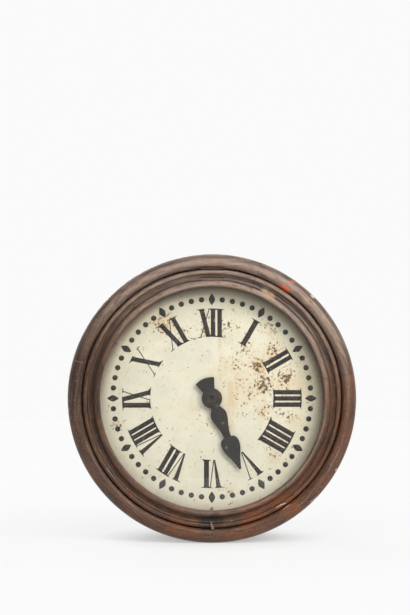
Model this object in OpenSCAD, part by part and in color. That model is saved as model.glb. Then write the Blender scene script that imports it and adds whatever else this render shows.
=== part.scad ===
// Double-faced hanging clock with a wooden case, glazed doors and two impulse movements.
// Millimetres. X runs to the right and Z up, and the front face looks towards -Y.
// The origin lies on the line of the two hand arbors, half way through the drum.

/* [Case] */
// Overall diameter over the two case rings
case_d = 580; // [540:1:640]
// Depth from the crest of one ring to the crest of the other
case_depth = 220; // [210:1:260]
// Radial width of a case ring outside the door groove
ring_w = 29; // [26:0.5:34]
// Depth of a case ring from its crest to its back
ring_depth = 50; // [46:1:56]
// Radius of the long round outer fall of the ring
ring_round = 18; // [14:0.5:20]
// Height of the steep inner flank of the ring
flank_h = 10; // [8:0.5:12]
// How far the drum lies inside the outer edge of the rings
waist_inset = 40; // [36:1:48]
// Wall of the wooden drum
waist_wall = 12; // [9:0.5:16]
// How deep the drum is let into the back of each ring
drum_let_in = 6; // [4:0.5:8]

/* [Doors] */
// Width of the groove between a door and its ring
door_gap = 2.2; // [2:0.1:2.6]
// Radial width of the door ring
door_w = 34.2; // [32:0.1:38]
// Depth of the door ring from its lip to its back
door_t = 25.7; // [25:0.1:28]
// Width of the outer bead of the door
bead_w = 9; // [8:0.1:10]
// How far the bead lies behind the lip
bead_drop = 2.5; // [2.4:0.05:2.7]
// Width of the cove between the bead and the lip
cove_w = 12.2; // [11:0.1:13.5]
// Depth of the cove
cove_h = 4.5; // [3.5:0.1:5]
// Height of the convex lip
lip_h = 5.5; // [4.5:0.1:6]
// Width of the hinge leaves
hinge_w = 46; // [38:1:52]
// Radius of the hinge knuckles
knuckle_r = 2.5; // [2.3:0.05:2.6]
// Length of the turning catch from its pivot to the middle of its lobe
catch_len = 5; // [4.6:0.1:5.4]
// Angle at which the catch stands, from straight down
catch_angle = 15; // [0:1:30]

/* [Glass and dials] */
// Thickness of the glass
glass_t = 3; // [2.5:0.1:3.4]
// Width of glass hidden behind the lip
glass_lap = 7.5; // [6:0.1:8.5]
// Depth of the rabbet that holds the glass
rabbet_h = 11; // [10:0.1:11.5]
// Thickness of a dial
dial_t = 1.5; // [1:0.1:2]
// Width of dial hidden behind the lip
dial_lap = 15.4; // [13:0.1:18]
// How far the face of a dial lies behind the back of the door
dial_drop = 8; // [7:0.1:9]
// Radius of the hole for the hour pipe
dial_hole_r = 11; // [10.2:0.1:13]

/* [Hands] */
// Clockwise angle of the hour hands from twelve
hour_angle = 158; // [0:1:359]
// Clockwise angle of the minute hand from twelve
minute_angle = 96; // [0:1:359]
// Length of an hour hand from the arbor to its tip
hour_len = 154; // [140:1:170]
// Length of the spade of an hour hand
hour_spade = 69.5; // [60:0.5:76]
// Length of the minute hand from the arbor to its tip
minute_len = 200; // [180:1:210]
// Length of the spade of the minute hand
minute_spade = 62; // [52:0.5:70]
// Thickness of a hand
hand_t = 1.2; // [1:0.1:1.4]
// Radius of the hub disc of an hour hand
hub_r = 20.7; // [19:0.1:23]
// Length of the fan tail of an hour hand
tail_len = 43; // [38:0.5:50]
// Clearance from the dial to the back of an hour hand
hand_gap = 6.6; // [5.6:0.1:6.8]

/* [Movements] */
// Width of the movement plates
plate_w = 100; // [98:1:110]
// Height of the movement plates
plate_h = 122; // [120:1:130]
// Thickness of the movement plates
plate_t = 2.5; // [2:0.1:3]
// Distance between the two plates of a movement
plate_gap = 32; // [31:0.5:34]
// Thickness of the cross board inside the drum
board_t = 18; // [15:0.5:21]
// Radius over the teeth of a ratchet wheel
ratchet_r = 24; // [23:0.1:24.2]
// Tooth module of the first motion pair
motion_module = 1; // [0.96:0.01:1.04]
// Radius of a minute arbor
arbor_r = 3; // [2.6:0.1:3.2]
// Outer radius of an hour pipe
pipe_r = 9; // [8.6:0.1:9.4]
// Wall of an hour pipe
pipe_wall = 1.5; // [1.2:0.1:1.8]
// Radius of the coils over their cheeks
coil_r = 13; // [12:0.1:14]
// Radius of the magnet cores
core_r = 4.5; // [4:0.1:5]

/* [Suspension] */
// Radius of the threaded socket
socket_r = 16.6; // [13:0.1:18]
// Diameter of the iron flange
flange_d = 90; // [86:1:94]
// Thickness of the flange plate
flange_t = 6; // [5:0.5:8]
// Height of the socket above the flange plate
boss_h = 16; // [12:1:20]
// Pitch circle diameter of the four bolts
bolt_pcd = 68; // [66:1:72]
// Radius of the bolts
bolt_r = 4; // [3:0.1:4.5]

/* [Hidden] */
$fn = 96;
case_r = case_d / 2;
face_z = case_depth / 2;
ring_in_r = case_r - ring_w;
crest_r = case_r - ring_round;
ring_back_z = face_z - ring_depth;
waist_r = case_r - waist_inset;
drum_in_r = waist_r - waist_wall;
drum_end_z = ring_back_z + drum_let_in;
edge_round = 3;
seat_gap = 0.3;
joint_gap = 0.15;
run_fit = 0.05;

door_r = ring_in_r - door_gap;
sight_r = door_r - door_w;
door_back_z = face_z - door_t;
door_stop_z = door_back_z - seat_gap;
bead_r = bead_w / 2;
bead_mid_r = door_r - bead_r;
bead_top_z = face_z - bead_drop;
bead_mid_z = bead_top_z - bead_r;
cove_out_r = door_r - bead_w;
quirk = 1;
lip_out_r = cove_out_r - cove_w - quirk;
nose_r = 3;
sunk = 0.01;

glass_r = sight_r + glass_lap;
rabbet_r = glass_r + 0.8;
rabbet_z = door_back_z + rabbet_h;
glass_back_z = rabbet_z - glass_t;
bead_ring_w = 7;
bead_ring_z = door_back_z + 1.5;

dial_r = sight_r + dial_lap;
dial_seat_r = dial_r + 1;
dial_z = door_stop_z - dial_drop;
dial_back_z = dial_z - dial_t;
ledge_r = sight_r - 8.6;
dial_screw_pcr = sight_r - 1.6;
dial_screw_angles = [0, 120, 240];
dial_screw_r = 1.5;
dial_screw_head = 3.2;
dial_screw_sunk = 6;

hinge_y = door_r + door_gap / 2;
hinge_z = face_z - 0.5 - knuckle_r;
leaf_t = 1.5;
leaf_back_z = door_back_z + 2;
leaf_top_z = hinge_z - knuckle_r - 0.4;
mid_knuckle = 15.6;
knuckle_gap = 0.2;
hinge_pin_r = 1.2;
strap_w = 4.2;
strap_z = bead_mid_z - cove_h - 3.5;
strap_t = 5.5;
tie_r = 1.5;
tie_x = hinge_w / 2 - 8;
strap_off = 0.5;
strap_y = lip_out_r + strap_off;
strap_slack = 0.2;
strap_top_gap = 0.7;
tie_z = strap_z + tie_r;

catch_gap = 0.3;
catch_t = 1.2;
catch_z = bead_top_z + catch_gap;
catch_lobe_r = 2.8;
catch_arm_w = 3.2;
catch_tail = 9;
catch_head_r = 2.6;
catch_head_t = 0.7;
catch_pin_r = 1.5;
catch_depth = 8;

hour_z = dial_z + hand_gap;
hour_belly = 16.6;
hour_waist = 7.4;
hour_lobe = 18.9;
hour_tip_r = 2.6;
hour_tail_half = 10;
minute_belly = 12;
minute_waist = 5.6;
minute_lobe = 14.5;
minute_tip_r = 2.2;
minute_tail_half = 7;
minute_tail_len = tail_len + 8;
tail_fan = 28;
hand_seat = 0.03;
disc_t = 1.6;
pipe_top_z = hour_z + hand_t + disc_t + 0.6;
minute_z = pipe_top_z + 0.8;
minute_disc_r = 14;
minute_disc_t = 1.4;
nut_r = 6;
nut_t = 1.6;
pipe_open = 18; // free length of the pipe in front of its bush
bush_top_z = pipe_top_z - pipe_open;
pipe_in_r = pipe_r - pipe_wall;
bush_r = pipe_in_r - run_fit;

back_plate_z = board_t / 2;
inner_z = back_plate_z + plate_t;
front_plate_z = inner_z + plate_gap;
work_z = front_plate_z + plate_t;
plate_mid_y = 20;
plate_corner = 6;
pillar_x = plate_w / 2 - 8;
pillar_dy = plate_h / 2 - 8;
pillar_r = 4;
spigot_r = 2;
pillar_nut_r = 4;
pillar_nut_t = 3;

pinion_teeth = 12;
motion_teeth = 36;
hour_pinion_teeth = 10;
hour_teeth = 40;
centre_dist = motion_module * (pinion_teeth + motion_teeth) / 2;
hour_module = 2 * centre_dist / (hour_pinion_teeth + hour_teeth);
pressure_angle = 25;
tooth_play = 0.22;
cannon_z = work_z + 1;
cannon_h = 4;
motion_z = cannon_z + 0.5;
motion_t = 2.5;
bridge_z = cannon_z + cannon_h + 1;
bridge_t = 2;
bridge_w = 12;
bridge_span = 60;
hour_wheel_z = bridge_z + bridge_t + 0.5;
hour_wheel_t = 2.5;
stud_r = 2;
stud_top_z = hour_wheel_z + hour_wheel_t + 1;
arbor_foot_z = back_plate_z + seat_gap;

ratchet_teeth = 60; // one for each minute of the hour
ratchet_t = 2.5;
ratchet_lift = 14.5;
ratchet_z = inner_z + ratchet_lift;
ratchet_hub_over = 3;
spoke_hole_r = 5;
ratchet_depth = 1.6;
ratchet_hub_r = 7;
spoke_holes = 5;

magnet_z = ratchet_z + ratchet_t / 2;
armature_pivot = [-34, ratchet_r + 5];
pawl_pivot = [31, ratchet_r + 4];
armature_arbor_r = 2;
armature_bar = [52, 5, 14];
armature_bar_y = ratchet_r + 2;
core_foot_y = armature_bar_y + armature_bar[1] + 3;
core_x = 16;
coil_len = 30;
coil_foot_y = core_foot_y + 3;
yoke_y = coil_foot_y + coil_len + 2;
yoke_h = 6;
yoke_over = 11;
yoke_front_z = magnet_z + 10;
cheek_t = 2;
winding_r = coil_r - 1.5;
pawl_t = ratchet_t;
pawl_pin_r = 1.5;
pawl_eye_r = 3.2;
pawl_w = 3;
click_pivot = [-31, -20];
tip_clear = 0.7;

saddle_size = 100;
saddle_h = 8;
saddle_top_z = waist_r + saddle_h;
flange_top_z = saddle_top_z + flange_t;
boss_r = socket_r + 7;
boss_fillet = 3;
wire_hole_r = socket_r - 3;
inner_plate_t = 4;
inner_plate_size = 92;
bolt_hole_r = bolt_r + 0.2;
bolt_head_r = bolt_r * 1.85;
bolt_head_t = 5.5;
bolt_end = 2;
bolt_xy = bolt_pcd / 2 * sqrt(0.5);
nut_seat_z = sqrt(pow(drum_in_r - joint_gap - inner_plate_t, 2) - pow(bolt_xy + bolt_head_r, 2));

board_h = plate_h;
screw_r = 2;
screw_head_r = 3.6;
screw_head_t = 2;
screw_depth = 7;
screw_x = plate_w / 2 - 18;
screw_dy = plate_h / 2 - 8;

terminal_block = [40, 12, 12];
terminal_y = plate_mid_y - plate_h / 2 + 2;
terminal_x = 10;
post_r = 2;
post_h = 8;
post_nut_r = 3.6;
post_nut_t = 3;

lead_r = 2.2;
lead_sides = 8;
lead_x = plate_w / 2 + 16;
lead_z = back_plate_z + 13;

wood = "#6b4a38";
dark_wood = "#5a3d2e";
ivory = "#dcd3b9";
black_paint = "#2e2c2c";
brass = "#b8924a";
iron = "#4b4846";
steel = "#8e8f90";
clear = [0.8, 0.88, 0.86, 0.35];

// Turns a shape drawn as a dial is seen (x right, y up, z towards the viewer) onto one face.
module on_face(turn) {
    rotate([0, 0, turn])
        rotate([90, 0, 0])
            children();
}

// Points of an elliptic arc about a centre, from one angle to another
function arc(centre, rx, ry, from, to, steps) = [
    for (i = [0 : steps])
        let (a = from + (to - from) * i / steps)
        centre + [rx * cos(a), ry * sin(a)]
];

// Points of a cubic curve between two points with two handles
function curve(a, b, c, d, steps = 6) = [
    for (i = [1 : steps])
        let (t = i / steps, s = 1 - t)
        s * s * s * a + 3 * s * s * t * b + 3 * s * t * t * c + t * t * t * d
];

function polar(r, a) = [r * cos(a), r * sin(a)];

function mirrored(points) = [
    for (i = [len(points) - 1 : -1 : 0]) [-points[i].x, points[i].y]
];

// A plate with round corners about its middle
module round_plate(w, h, r) {
    square([w - 2 * r, h], center = true);
    square([w, h - 2 * r], center = true);
    for (x = [-1, 1], y = [-1, 1])
        translate([x * (w / 2 - r), y * (h / 2 - r)])
            circle(r = r);
}

module rod(at, r, z0, z1) {
    translate([at.x, at.y, z0])
        cylinder(r = r, h = z1 - z0);
}

module case_ring() {
    profile = concat(
        [[waist_r + joint_gap, ring_back_z]],
        arc([case_r - edge_round, ring_back_z + edge_round], edge_round, edge_round, -90, 0, 3),
        arc([crest_r, face_z - ring_round], ring_round, ring_round, 0, 90, 12),
        arc([crest_r, face_z - flank_h], crest_r - ring_in_r, flank_h, 96, 180, 8),
        [
            [ring_in_r, door_stop_z],
            [dial_seat_r, door_stop_z],
            [dial_seat_r, dial_back_z],
            [ledge_r, dial_back_z],
            [ledge_r, drum_end_z],
            [waist_r + joint_gap, drum_end_z]
        ]
    );
    color(wood)
        difference() {
            rotate_extrude($fn = 180)
                polygon(profile);
            leaf_pocket();
            dial_screw_holes();
        }
}

// Room for the fixed hinge leaf and for the knuckles, open to the front
module leaf_pocket() {
    w = hinge_w + 2 * seat_gap;
    top = hinge_y + knuckle_r + seat_gap;
    translate([-w / 2, hinge_y - 8, leaf_back_z - seat_gap])
        cube([w, top - hinge_y + 8, face_z]);
}

module dial_screw_holes() {
    for (a = dial_screw_angles)
        rotate([0, 0, a])
            rod([0, -dial_screw_pcr], dial_screw_r + 0.1, dial_back_z - dial_screw_sunk - 1, dial_z + 1);
}

module door_ring() {
    profile = concat(
        [[door_r, door_back_z]],
        arc([bead_mid_r, bead_mid_z], bead_r, bead_r, 0, 180, 10),
        arc([cove_out_r - cove_w / 2, bead_mid_z], cove_w / 2, cove_h, -10, -180, 9),
        [[lip_out_r, bead_mid_z]],
        arc([sight_r + nose_r, face_z - lip_h], lip_out_r - sight_r - nose_r, lip_h, 0, 90, 8),
        arc([sight_r + nose_r, face_z - nose_r], nose_r, nose_r, 110, 180, 4),
        [
            [sight_r, rabbet_z],
            [rabbet_r, rabbet_z],
            [rabbet_r, door_back_z]
        ]
    );
    color(wood)
        difference() {
            rotate_extrude($fn = 180)
                polygon(profile);
            strap_pocket();
            rod([0, -bead_mid_r], catch_pin_r + run_fit, bead_top_z - catch_depth - 1, face_z);
        }
}

// Room for the moving half of the hinge, its two ties and the strap in the cove
module strap_pocket() {
    w = hinge_w + 2 * seat_gap;
    floor_y = hinge_y - knuckle_r - strap_slack;
    translate([-w / 2, floor_y, leaf_back_z - seat_gap])
        cube([w, 20, face_z]);
    knuckle(w, knuckle_r + seat_gap, 0);
    for (x = [-tie_x, tie_x])
        tie(x, tie_r + 0.05);
    translate([-w / 2, strap_y - strap_slack, strap_z - strap_slack / 2])
        cube([w, strap_w + strap_slack + strap_top_gap, strap_t + cove_h + 2]);
}

// A bar along the hinge axis
module knuckle(w, r, x) {
    translate([x - w / 2, hinge_y, hinge_z])
        rotate([0, 90, 0])
            cylinder(r = r, h = w);
}

module tie(x, r) {
    translate([x, strap_y + strap_w - 1, tie_z])
        rotate([-90, 0, 0])
            cylinder(r = r, h = hinge_y - knuckle_r + 0.5 - strap_y - strap_w + 1);
}

module hinge_leaf() {
    end_w = (hinge_w - mid_knuckle) / 2 - knuckle_gap;
    leaf_y = hinge_y + knuckle_r - leaf_t;
    color(iron) {
        translate([-hinge_w / 2, leaf_y, leaf_back_z])
            cube([hinge_w, leaf_t, leaf_top_z - leaf_back_z]);
        for (side = [-1, 1]) {
            knuckle(end_w, knuckle_r, side * (hinge_w - end_w) / 2);
            translate([side * (hinge_w - end_w) / 2 - end_w / 2, leaf_y, leaf_top_z - 1])
                cube([end_w, leaf_t, hinge_z - leaf_top_z + 1]);
        }
        knuckle(hinge_w - 1, hinge_pin_r, 0);
    }
}

module hinge_strap() {
    leaf_y = hinge_y - knuckle_r;
    color(iron) {
        translate([-hinge_w / 2, leaf_y, leaf_back_z])
            cube([hinge_w, leaf_t, leaf_top_z - leaf_back_z]);
        difference() {
            union() {
                knuckle(mid_knuckle, knuckle_r, 0);
                translate([-mid_knuckle / 2, leaf_y, leaf_top_z - 1])
                    cube([mid_knuckle, leaf_t, hinge_z - leaf_top_z + 1]);
            }
            knuckle(mid_knuckle + 2, hinge_pin_r + run_fit, 0);
        }
        for (x = [-tie_x, tie_x])
            tie(x, tie_r);
        translate([-hinge_w / 2, strap_y, strap_z])
            cube([hinge_w, strap_w, strap_t]);
    }
}

// A flat lobed arm on a pin that turns in the bead of the door
module catch() {
    color(steel)
        translate([0, -bead_mid_r, 0])
            rotate([0, 0, catch_angle]) {
                translate([0, 0, catch_z])
                    linear_extrude(catch_t) {
                        translate([0, -catch_len])
                            circle(r = catch_lobe_r);
                        circle(r = catch_head_r);
                        translate([-catch_arm_w / 2, -catch_len])
                            square([catch_arm_w, catch_len]);
                        polygon([
                            [-catch_arm_w / 2, 0], [catch_arm_w / 2, 0],
                            [0.6, catch_tail], [-0.6, catch_tail]
                        ]);
                    }
                rod([0, 0], catch_head_r - 0.4, catch_z + catch_t - sunk, catch_z + catch_t + catch_head_t);
                rod([0, 0], catch_pin_r, bead_top_z - catch_depth, catch_z + sunk);
            }
}

module glass() {
    color(clear)
        rod([0, 0], glass_r, glass_back_z, rabbet_z, $fn = 180);
}

// The wooden bead that holds the glass from behind
module glazing_ring() {
    r = rabbet_r - joint_gap;
    chamfer = 2;
    color(dark_wood)
        rotate_extrude($fn = 180)
            polygon([
                [r - bead_ring_w, glass_back_z], [r, glass_back_z], [r, bead_ring_z],
                [r - bead_ring_w + chamfer, bead_ring_z],
                [r - bead_ring_w, bead_ring_z + chamfer]
            ]);
}

module dial() {
    color(ivory)
        difference() {
            rod([0, 0], dial_r, dial_back_z, dial_z, $fn = 180);
            rod([0, 0], dial_hole_r, dial_back_z - 1, dial_z + 1);
            dial_screw_holes();
        }
}

module dial_screws() {
    color(steel)
        for (a = dial_screw_angles)
            rotate([0, 0, a]) {
                rod([0, -dial_screw_pcr], dial_screw_r, dial_back_z - dial_screw_sunk, dial_z + sunk);
                translate([0, -dial_screw_pcr, dial_z])
                    rotate_extrude()
                        polygon(concat([[0, 0]], arc([0, 0], dial_screw_head, 1.3, 0, 90, 5)));
            }
}

// Right half of a baluster hand with a spade, from the hub to the round tip.
// The widths are half widths at the belly, at the waist and at the lobes of the spade.
function hand_side(length, spade, belly, waist, lobe, tip) =
    let (neck_y = length - spade)
    concat(
        [[waist, 10]],
        curve([waist, 12], [waist + 1, 24], [belly, 27], [belly, 37]),
        curve([belly, 37], [belly, 52], [waist, neck_y - 22], [waist, neck_y]),
        curve([waist, neck_y], [lobe * 0.8, neck_y], [lobe, neck_y + 7], [lobe, neck_y + 16]),
        curve([lobe, neck_y + 16], [lobe, neck_y + 30], [lobe * 0.5, length - spade * 0.42],
            [tip + (lobe - tip) * 0.2, length - spade * 0.2]),
        arc([0, length - tip], tip, tip, 8, 90, 4)
    );

module hand_blade(side, tail, tail_half) {
    polygon(concat(side, mirrored(side)));
    polygon(concat(
        [[tail_half, -10]],
        arc([0, 0], tail, tail, tail_fan - 90, -tail_fan - 90, 8),
        [[-tail_half, -10]]
    ));
    circle(r = tail_half + 4);
}

module hour_hand() {
    side = hand_side(hour_len, hour_spade, hour_belly, hour_waist, hour_lobe, hour_tip_r);
    color(black_paint)
        rotate([0, 0, -hour_angle])
            difference() {
                union() {
                    translate([0, 0, hour_z])
                        linear_extrude(hand_t)
                            hand_blade(side, tail_len, hour_tail_half);
                    rod([0, 0], hub_r, hour_z + hand_t - sunk, hour_z + hand_t + disc_t);
                }
                rod([0, 0], pipe_r + hand_seat, hour_z - 1, face_z);
            }
}

module minute_hand() {
    side = hand_side(minute_len, minute_spade, minute_belly, minute_waist, minute_lobe, minute_tip_r);
    color(black_paint)
        rotate([0, 0, -minute_angle])
            difference() {
                union() {
                    translate([0, 0, minute_z])
                        linear_extrude(hand_t)
                            hand_blade(side, minute_tail_len, minute_tail_half);
                    rod([0, 0], minute_disc_r, minute_z + hand_t - sunk, minute_z + hand_t + minute_disc_t);
                }
                rod([0, 0], arbor_r + hand_seat, minute_z - 1, face_z);
            }
}

// A round knurled nut on the end of the minute arbor
module hand_nut() {
    z0 = minute_z + hand_t + minute_disc_t;
    color(brass)
        difference() {
            rod([0, 0], nut_r, z0, z0 + nut_t);
            rod([0, 0], arbor_r + hand_seat, z0 - 1, z0 + nut_t + 1);
        }
}

module drum() {
    color(dark_wood)
        difference() {
            rotate([90, 0, 0])
                difference() {
                    cylinder(r = waist_r, h = 2 * drum_end_z, center = true, $fn = 180);
                    cylinder(r = drum_in_r, h = 2 * drum_end_z + 2, center = true, $fn = 180);
                }
            cylinder(r = wire_hole_r, h = case_r);
            bolt_holes();
        }
}

module bolt_holes() {
    for (x = [-bolt_xy, bolt_xy], y = [-bolt_xy, bolt_xy])
        translate([x, y, 0])
            cylinder(r = bolt_hole_r, h = case_r);
}

// A wooden block with a flat top and a hollow foot that fits the drum
module saddle() {
    color(dark_wood)
        difference() {
            translate([-saddle_size / 2, -saddle_size / 2, waist_r - 20])
                cube([saddle_size, saddle_size, 20 + saddle_h]);
            rotate([90, 0, 0])
                cylinder(r = waist_r + joint_gap, h = saddle_size + 2, center = true, $fn = 180);
            cylinder(r = wire_hole_r, h = case_r);
            bolt_holes();
        }
}

module flange() {
    color(iron)
        difference() {
            translate([0, 0, saddle_top_z])
                rotate_extrude()
                    polygon(concat(
                        [[0, 0], [flange_d / 2, 0], [flange_d / 2, flange_t - 1], [flange_d / 2 - 1, flange_t]],
                        arc([boss_r, flange_t] + boss_fillet * [1, 1], boss_fillet, boss_fillet, 270, 180, 4),
                        [[boss_r, flange_t + boss_h - 1], [boss_r - 1, flange_t + boss_h], [0, flange_t + boss_h]]
                    ));
            translate([0, 0, saddle_top_z - 1])
                cylinder(r = socket_r, h = flange_t + boss_h + 2);
            bolt_holes();
        }
}

// A curved iron plate under the roof of the drum that takes the nuts
module inner_plate() {
    r = drum_in_r - joint_gap;
    color(iron)
        difference() {
            intersection() {
                rotate([90, 0, 0])
                    difference() {
                        cylinder(r = r, h = inner_plate_size, center = true, $fn = 180);
                        cylinder(r = r - inner_plate_t, h = inner_plate_size + 2, center = true, $fn = 180);
                    }
                translate([-inner_plate_size / 2, -inner_plate_size / 2, 0])
                    cube([inner_plate_size, inner_plate_size, case_r]);
            }
            cylinder(r = wire_hole_r, h = case_r);
            bolt_holes();
        }
}

// Four hexagon bolts with their nuts
module bolts() {
    color(steel)
        for (x = [-bolt_xy, bolt_xy], y = [-bolt_xy, bolt_xy])
            translate([x, y, 0]) {
                translate([0, 0, nut_seat_z - bolt_head_t])
                    cylinder(r = bolt_head_r, h = bolt_head_t, $fn = 6);
                translate([0, 0, nut_seat_z - bolt_head_t - bolt_end])
                    cylinder(r = bolt_r, h = flange_top_z + 1 - nut_seat_z + bolt_head_t + bolt_end);
                translate([0, 0, flange_top_z])
                    cylinder(r = bolt_head_r, h = bolt_head_t, $fn = 6);
            }
}

// The board across the drum, its ends cut round to the wall
module board() {
    color(dark_wood)
        difference() {
            intersection() {
                translate([-case_r, -board_t / 2, plate_mid_y - board_h / 2])
                    cube([case_d, board_t, board_h]);
                rotate([90, 0, 0])
                    cylinder(r = drum_in_r - joint_gap, h = board_t + 2, center = true, $fn = 180);
            }
            for (turn = [0, 180])
                on_face(turn)
                    board_screws_at()
                        rod([0, 0], screw_r + 0.05, back_plate_z - screw_depth - 0.5, back_plate_z + 1);
        }
}

module board_screws_at() {
    for (x = [-screw_x, screw_x], y = [-screw_dy, screw_dy])
        translate([x, plate_mid_y + y, 0])
            children();
}

module board_screws() {
    color(steel)
        for (turn = [0, 180])
            on_face(turn)
                board_screws_at() {
                    rod([0, 0], screw_r, back_plate_z - screw_depth, inner_z + sunk);
                    rod([0, 0], screw_head_r, inner_z, inner_z + screw_head_t);
                }
}

module pillars_at() {
    for (x = [-pillar_x, pillar_x], y = [-pillar_dy, pillar_dy])
        translate([x, plate_mid_y + y, 0])
            children();
}

module plate_blank(z) {
    translate([0, plate_mid_y, z])
        linear_extrude(plate_t)
            round_plate(plate_w, plate_h, plate_corner);
}

module back_plate() {
    z1 = inner_z + 1;
    z0 = back_plate_z - 1;
    color(brass) {
        difference() {
            plate_blank(back_plate_z);
            rod([0, 0], arbor_r + run_fit, z0, z1);
            rod(armature_pivot, armature_arbor_r + run_fit, z0, z1);
            board_screws_at()
                rod([0, 0], screw_r + 0.05, z0, z1);
            pillars_at()
                rod([0, 0], spigot_r + 0.05, z0, z1);
        }
        rod(click_pivot, pawl_pin_r, inner_z - 1, ratchet_z + ratchet_t + 0.5);
        rod(click_pivot, pawl_pin_r + 1.5, inner_z - 1, ratchet_z - seat_gap);
    }
}

module front_plate() {
    z1 = work_z + 1;
    z0 = front_plate_z - 1;
    color(brass) {
        difference() {
            plate_blank(front_plate_z);
            rod([0, 0], arbor_r + run_fit, z0, z1);
            rod(armature_pivot, armature_arbor_r + run_fit, z0, z1);
            pillars_at()
                rod([0, 0], spigot_r + 0.05, z0, z1);
        }
        rod([0, -centre_dist], stud_r, work_z - 1, stud_top_z);
        rod([0, -centre_dist], stud_r + 1.5, work_z - 1, motion_z - seat_gap);
    }
}

module pillars() {
    color(brass)
        pillars_at() {
            rod([0, 0], pillar_r, inner_z, front_plate_z);
            rod([0, 0], spigot_r, back_plate_z + 0.2, inner_z + 1);
            rod([0, 0], spigot_r, front_plate_z - 1, work_z + pillar_nut_t + 1);
            translate([0, 0, work_z])
                cylinder(r = pillar_nut_r, h = pillar_nut_t, $fn = 6);
        }
}

// Involute tooth form: half the angle of a tooth at radius r
function involute(r, base_r) =
    r <= base_r ? 0 : let (t = sqrt(pow(r / base_r, 2) - 1)) t * 180 / PI - atan(t);

function tooth_half(r, n, pitch_r, base_r) =
    90 / n - tooth_play / pitch_r * 90 / PI + involute(pitch_r, base_r) - involute(r, base_r);

function gear_points(n, module_mm, turn = 0) =
    let (
        pitch_r = n * module_mm / 2,
        base_r = pitch_r * cos(pressure_angle),
        root_r = pitch_r - 1.05 * module_mm,
        tip_r = pitch_r + 0.8 * module_mm,
        flank = [root_r, max(base_r, root_r + 0.01), pitch_r, (pitch_r + tip_r) / 2, tip_r]
    )
    [
        for (i = [0 : n - 1], side = [-1, 1], k = [0 : len(flank) - 1])
            let (r = flank[side < 0 ? k : len(flank) - 1 - k])
            polar(r, turn + i * 360 / n + side * tooth_half(r, n, pitch_r, base_r))
    ];

// The minute arbor with its pinion. It ends inside the hour pipe where the minute hand is gone.
module minute_arbor(top_z) {
    color(steel)
        difference() {
            union() {
                rod([0, 0], arbor_r, arbor_foot_z, top_z);
                translate([0, 0, cannon_z])
                    linear_extrude(cannon_h)
                        polygon(gear_points(pinion_teeth, motion_module));
            }
            translate([-arbor_r - 1, -0.5, top_z - 1])
                cube([2 * arbor_r + 2, 1, 2]);
        }
}

module ratchet_wheel() {
    pitch = 360 / ratchet_teeth;
    color(brass)
        difference() {
            union() {
                translate([0, 0, ratchet_z])
                    linear_extrude(ratchet_t)
                        polygon([
                            for (i = [0 : ratchet_teeth - 1], k = [0, 1])
                                polar(ratchet_r - k * ratchet_depth, i * pitch + k * 0.5)
                        ]);
                rod([0, 0], ratchet_hub_r, ratchet_z - ratchet_hub_over, ratchet_z + ratchet_t + ratchet_hub_over);
            }
            rod([0, 0], arbor_r + 0.02, inner_z, front_plate_z);
            for (i = [0 : spoke_holes - 1])
                rod(polar((ratchet_hub_r + ratchet_r - ratchet_depth) / 2, i * 360 / spoke_holes),
                    spoke_hole_r, ratchet_z - 1, ratchet_z + ratchet_t + 1);
        }
}

// The motion wheel and the small pinion on it
module motion_wheel() {
    color(brass)
        translate([0, -centre_dist, 0])
            difference() {
                union() {
                    translate([0, 0, motion_z])
                        linear_extrude(motion_t)
                            polygon(gear_points(motion_teeth, motion_module, 180 / motion_teeth));
                    translate([0, 0, motion_z + motion_t - sunk])
                        linear_extrude(hour_wheel_z + hour_wheel_t + 0.5 - motion_z - motion_t)
                            polygon(gear_points(hour_pinion_teeth, hour_module));
                }
                rod([0, 0], stud_r + run_fit, motion_z - 1, stud_top_z + 1);
            }
}

module hour_wheel() {
    color(brass)
        difference() {
            union() {
                translate([0, 0, hour_wheel_z])
                    linear_extrude(hour_wheel_t)
                        polygon(gear_points(hour_teeth, hour_module));
                rod([0, 0], pipe_r, hour_wheel_z, pipe_top_z);
            }
            rod([0, 0], pipe_in_r, hour_wheel_z - 1, pipe_top_z + 1);
        }
}

// A bridge on two feet in front of the pinion, with the bush that the hour pipe turns on
module hour_bridge() {
    foot_x = bridge_span / 2;
    color(brass)
        difference() {
            union() {
                translate([0, 0, bridge_z])
                    linear_extrude(bridge_t)
                        round_plate(bridge_span + bridge_w, bridge_w, bridge_w / 2 - 0.5);
                for (side = [-1, 1])
                    rod([side * foot_x, 0], bridge_w / 2 - 2, work_z, bridge_z + sunk);
                rod([0, 0], bush_r + 2, bridge_z, bridge_z + bridge_t);
                rod([0, 0], bush_r, bridge_z, bush_top_z);
            }
            rod([0, 0], arbor_r + 0.5, bridge_z - 1, bush_top_z + 1);
        }
}

// The iron frame of the electromagnet: a bar on the plate with two round cores
module magnet_yoke() {
    w = 2 * (core_x + yoke_over);
    color(iron) {
        translate([-w / 2, yoke_y, inner_z])
            cube([w, yoke_h, yoke_front_z - inner_z]);
        for (x = [-core_x, core_x])
            translate([x, core_foot_y, magnet_z])
                rotate([-90, 0, 0])
                    cylinder(r = core_r, h = yoke_y - core_foot_y + 1);
    }
}

module coils() {
    color("#7d4a2c")
        for (x = [-core_x, core_x])
            translate([x, coil_foot_y, magnet_z])
                rotate([-90, 0, 0])
                    difference() {
                        union() {
                            cylinder(r = winding_r, h = coil_len);
                            cylinder(r = coil_r, h = cheek_t);
                            translate([0, 0, coil_len - cheek_t])
                                cylinder(r = coil_r, h = cheek_t);
                        }
                        translate([0, 0, -1])
                            cylinder(r = core_r + 0.1, h = coil_len + 2);
                    }
}

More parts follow.
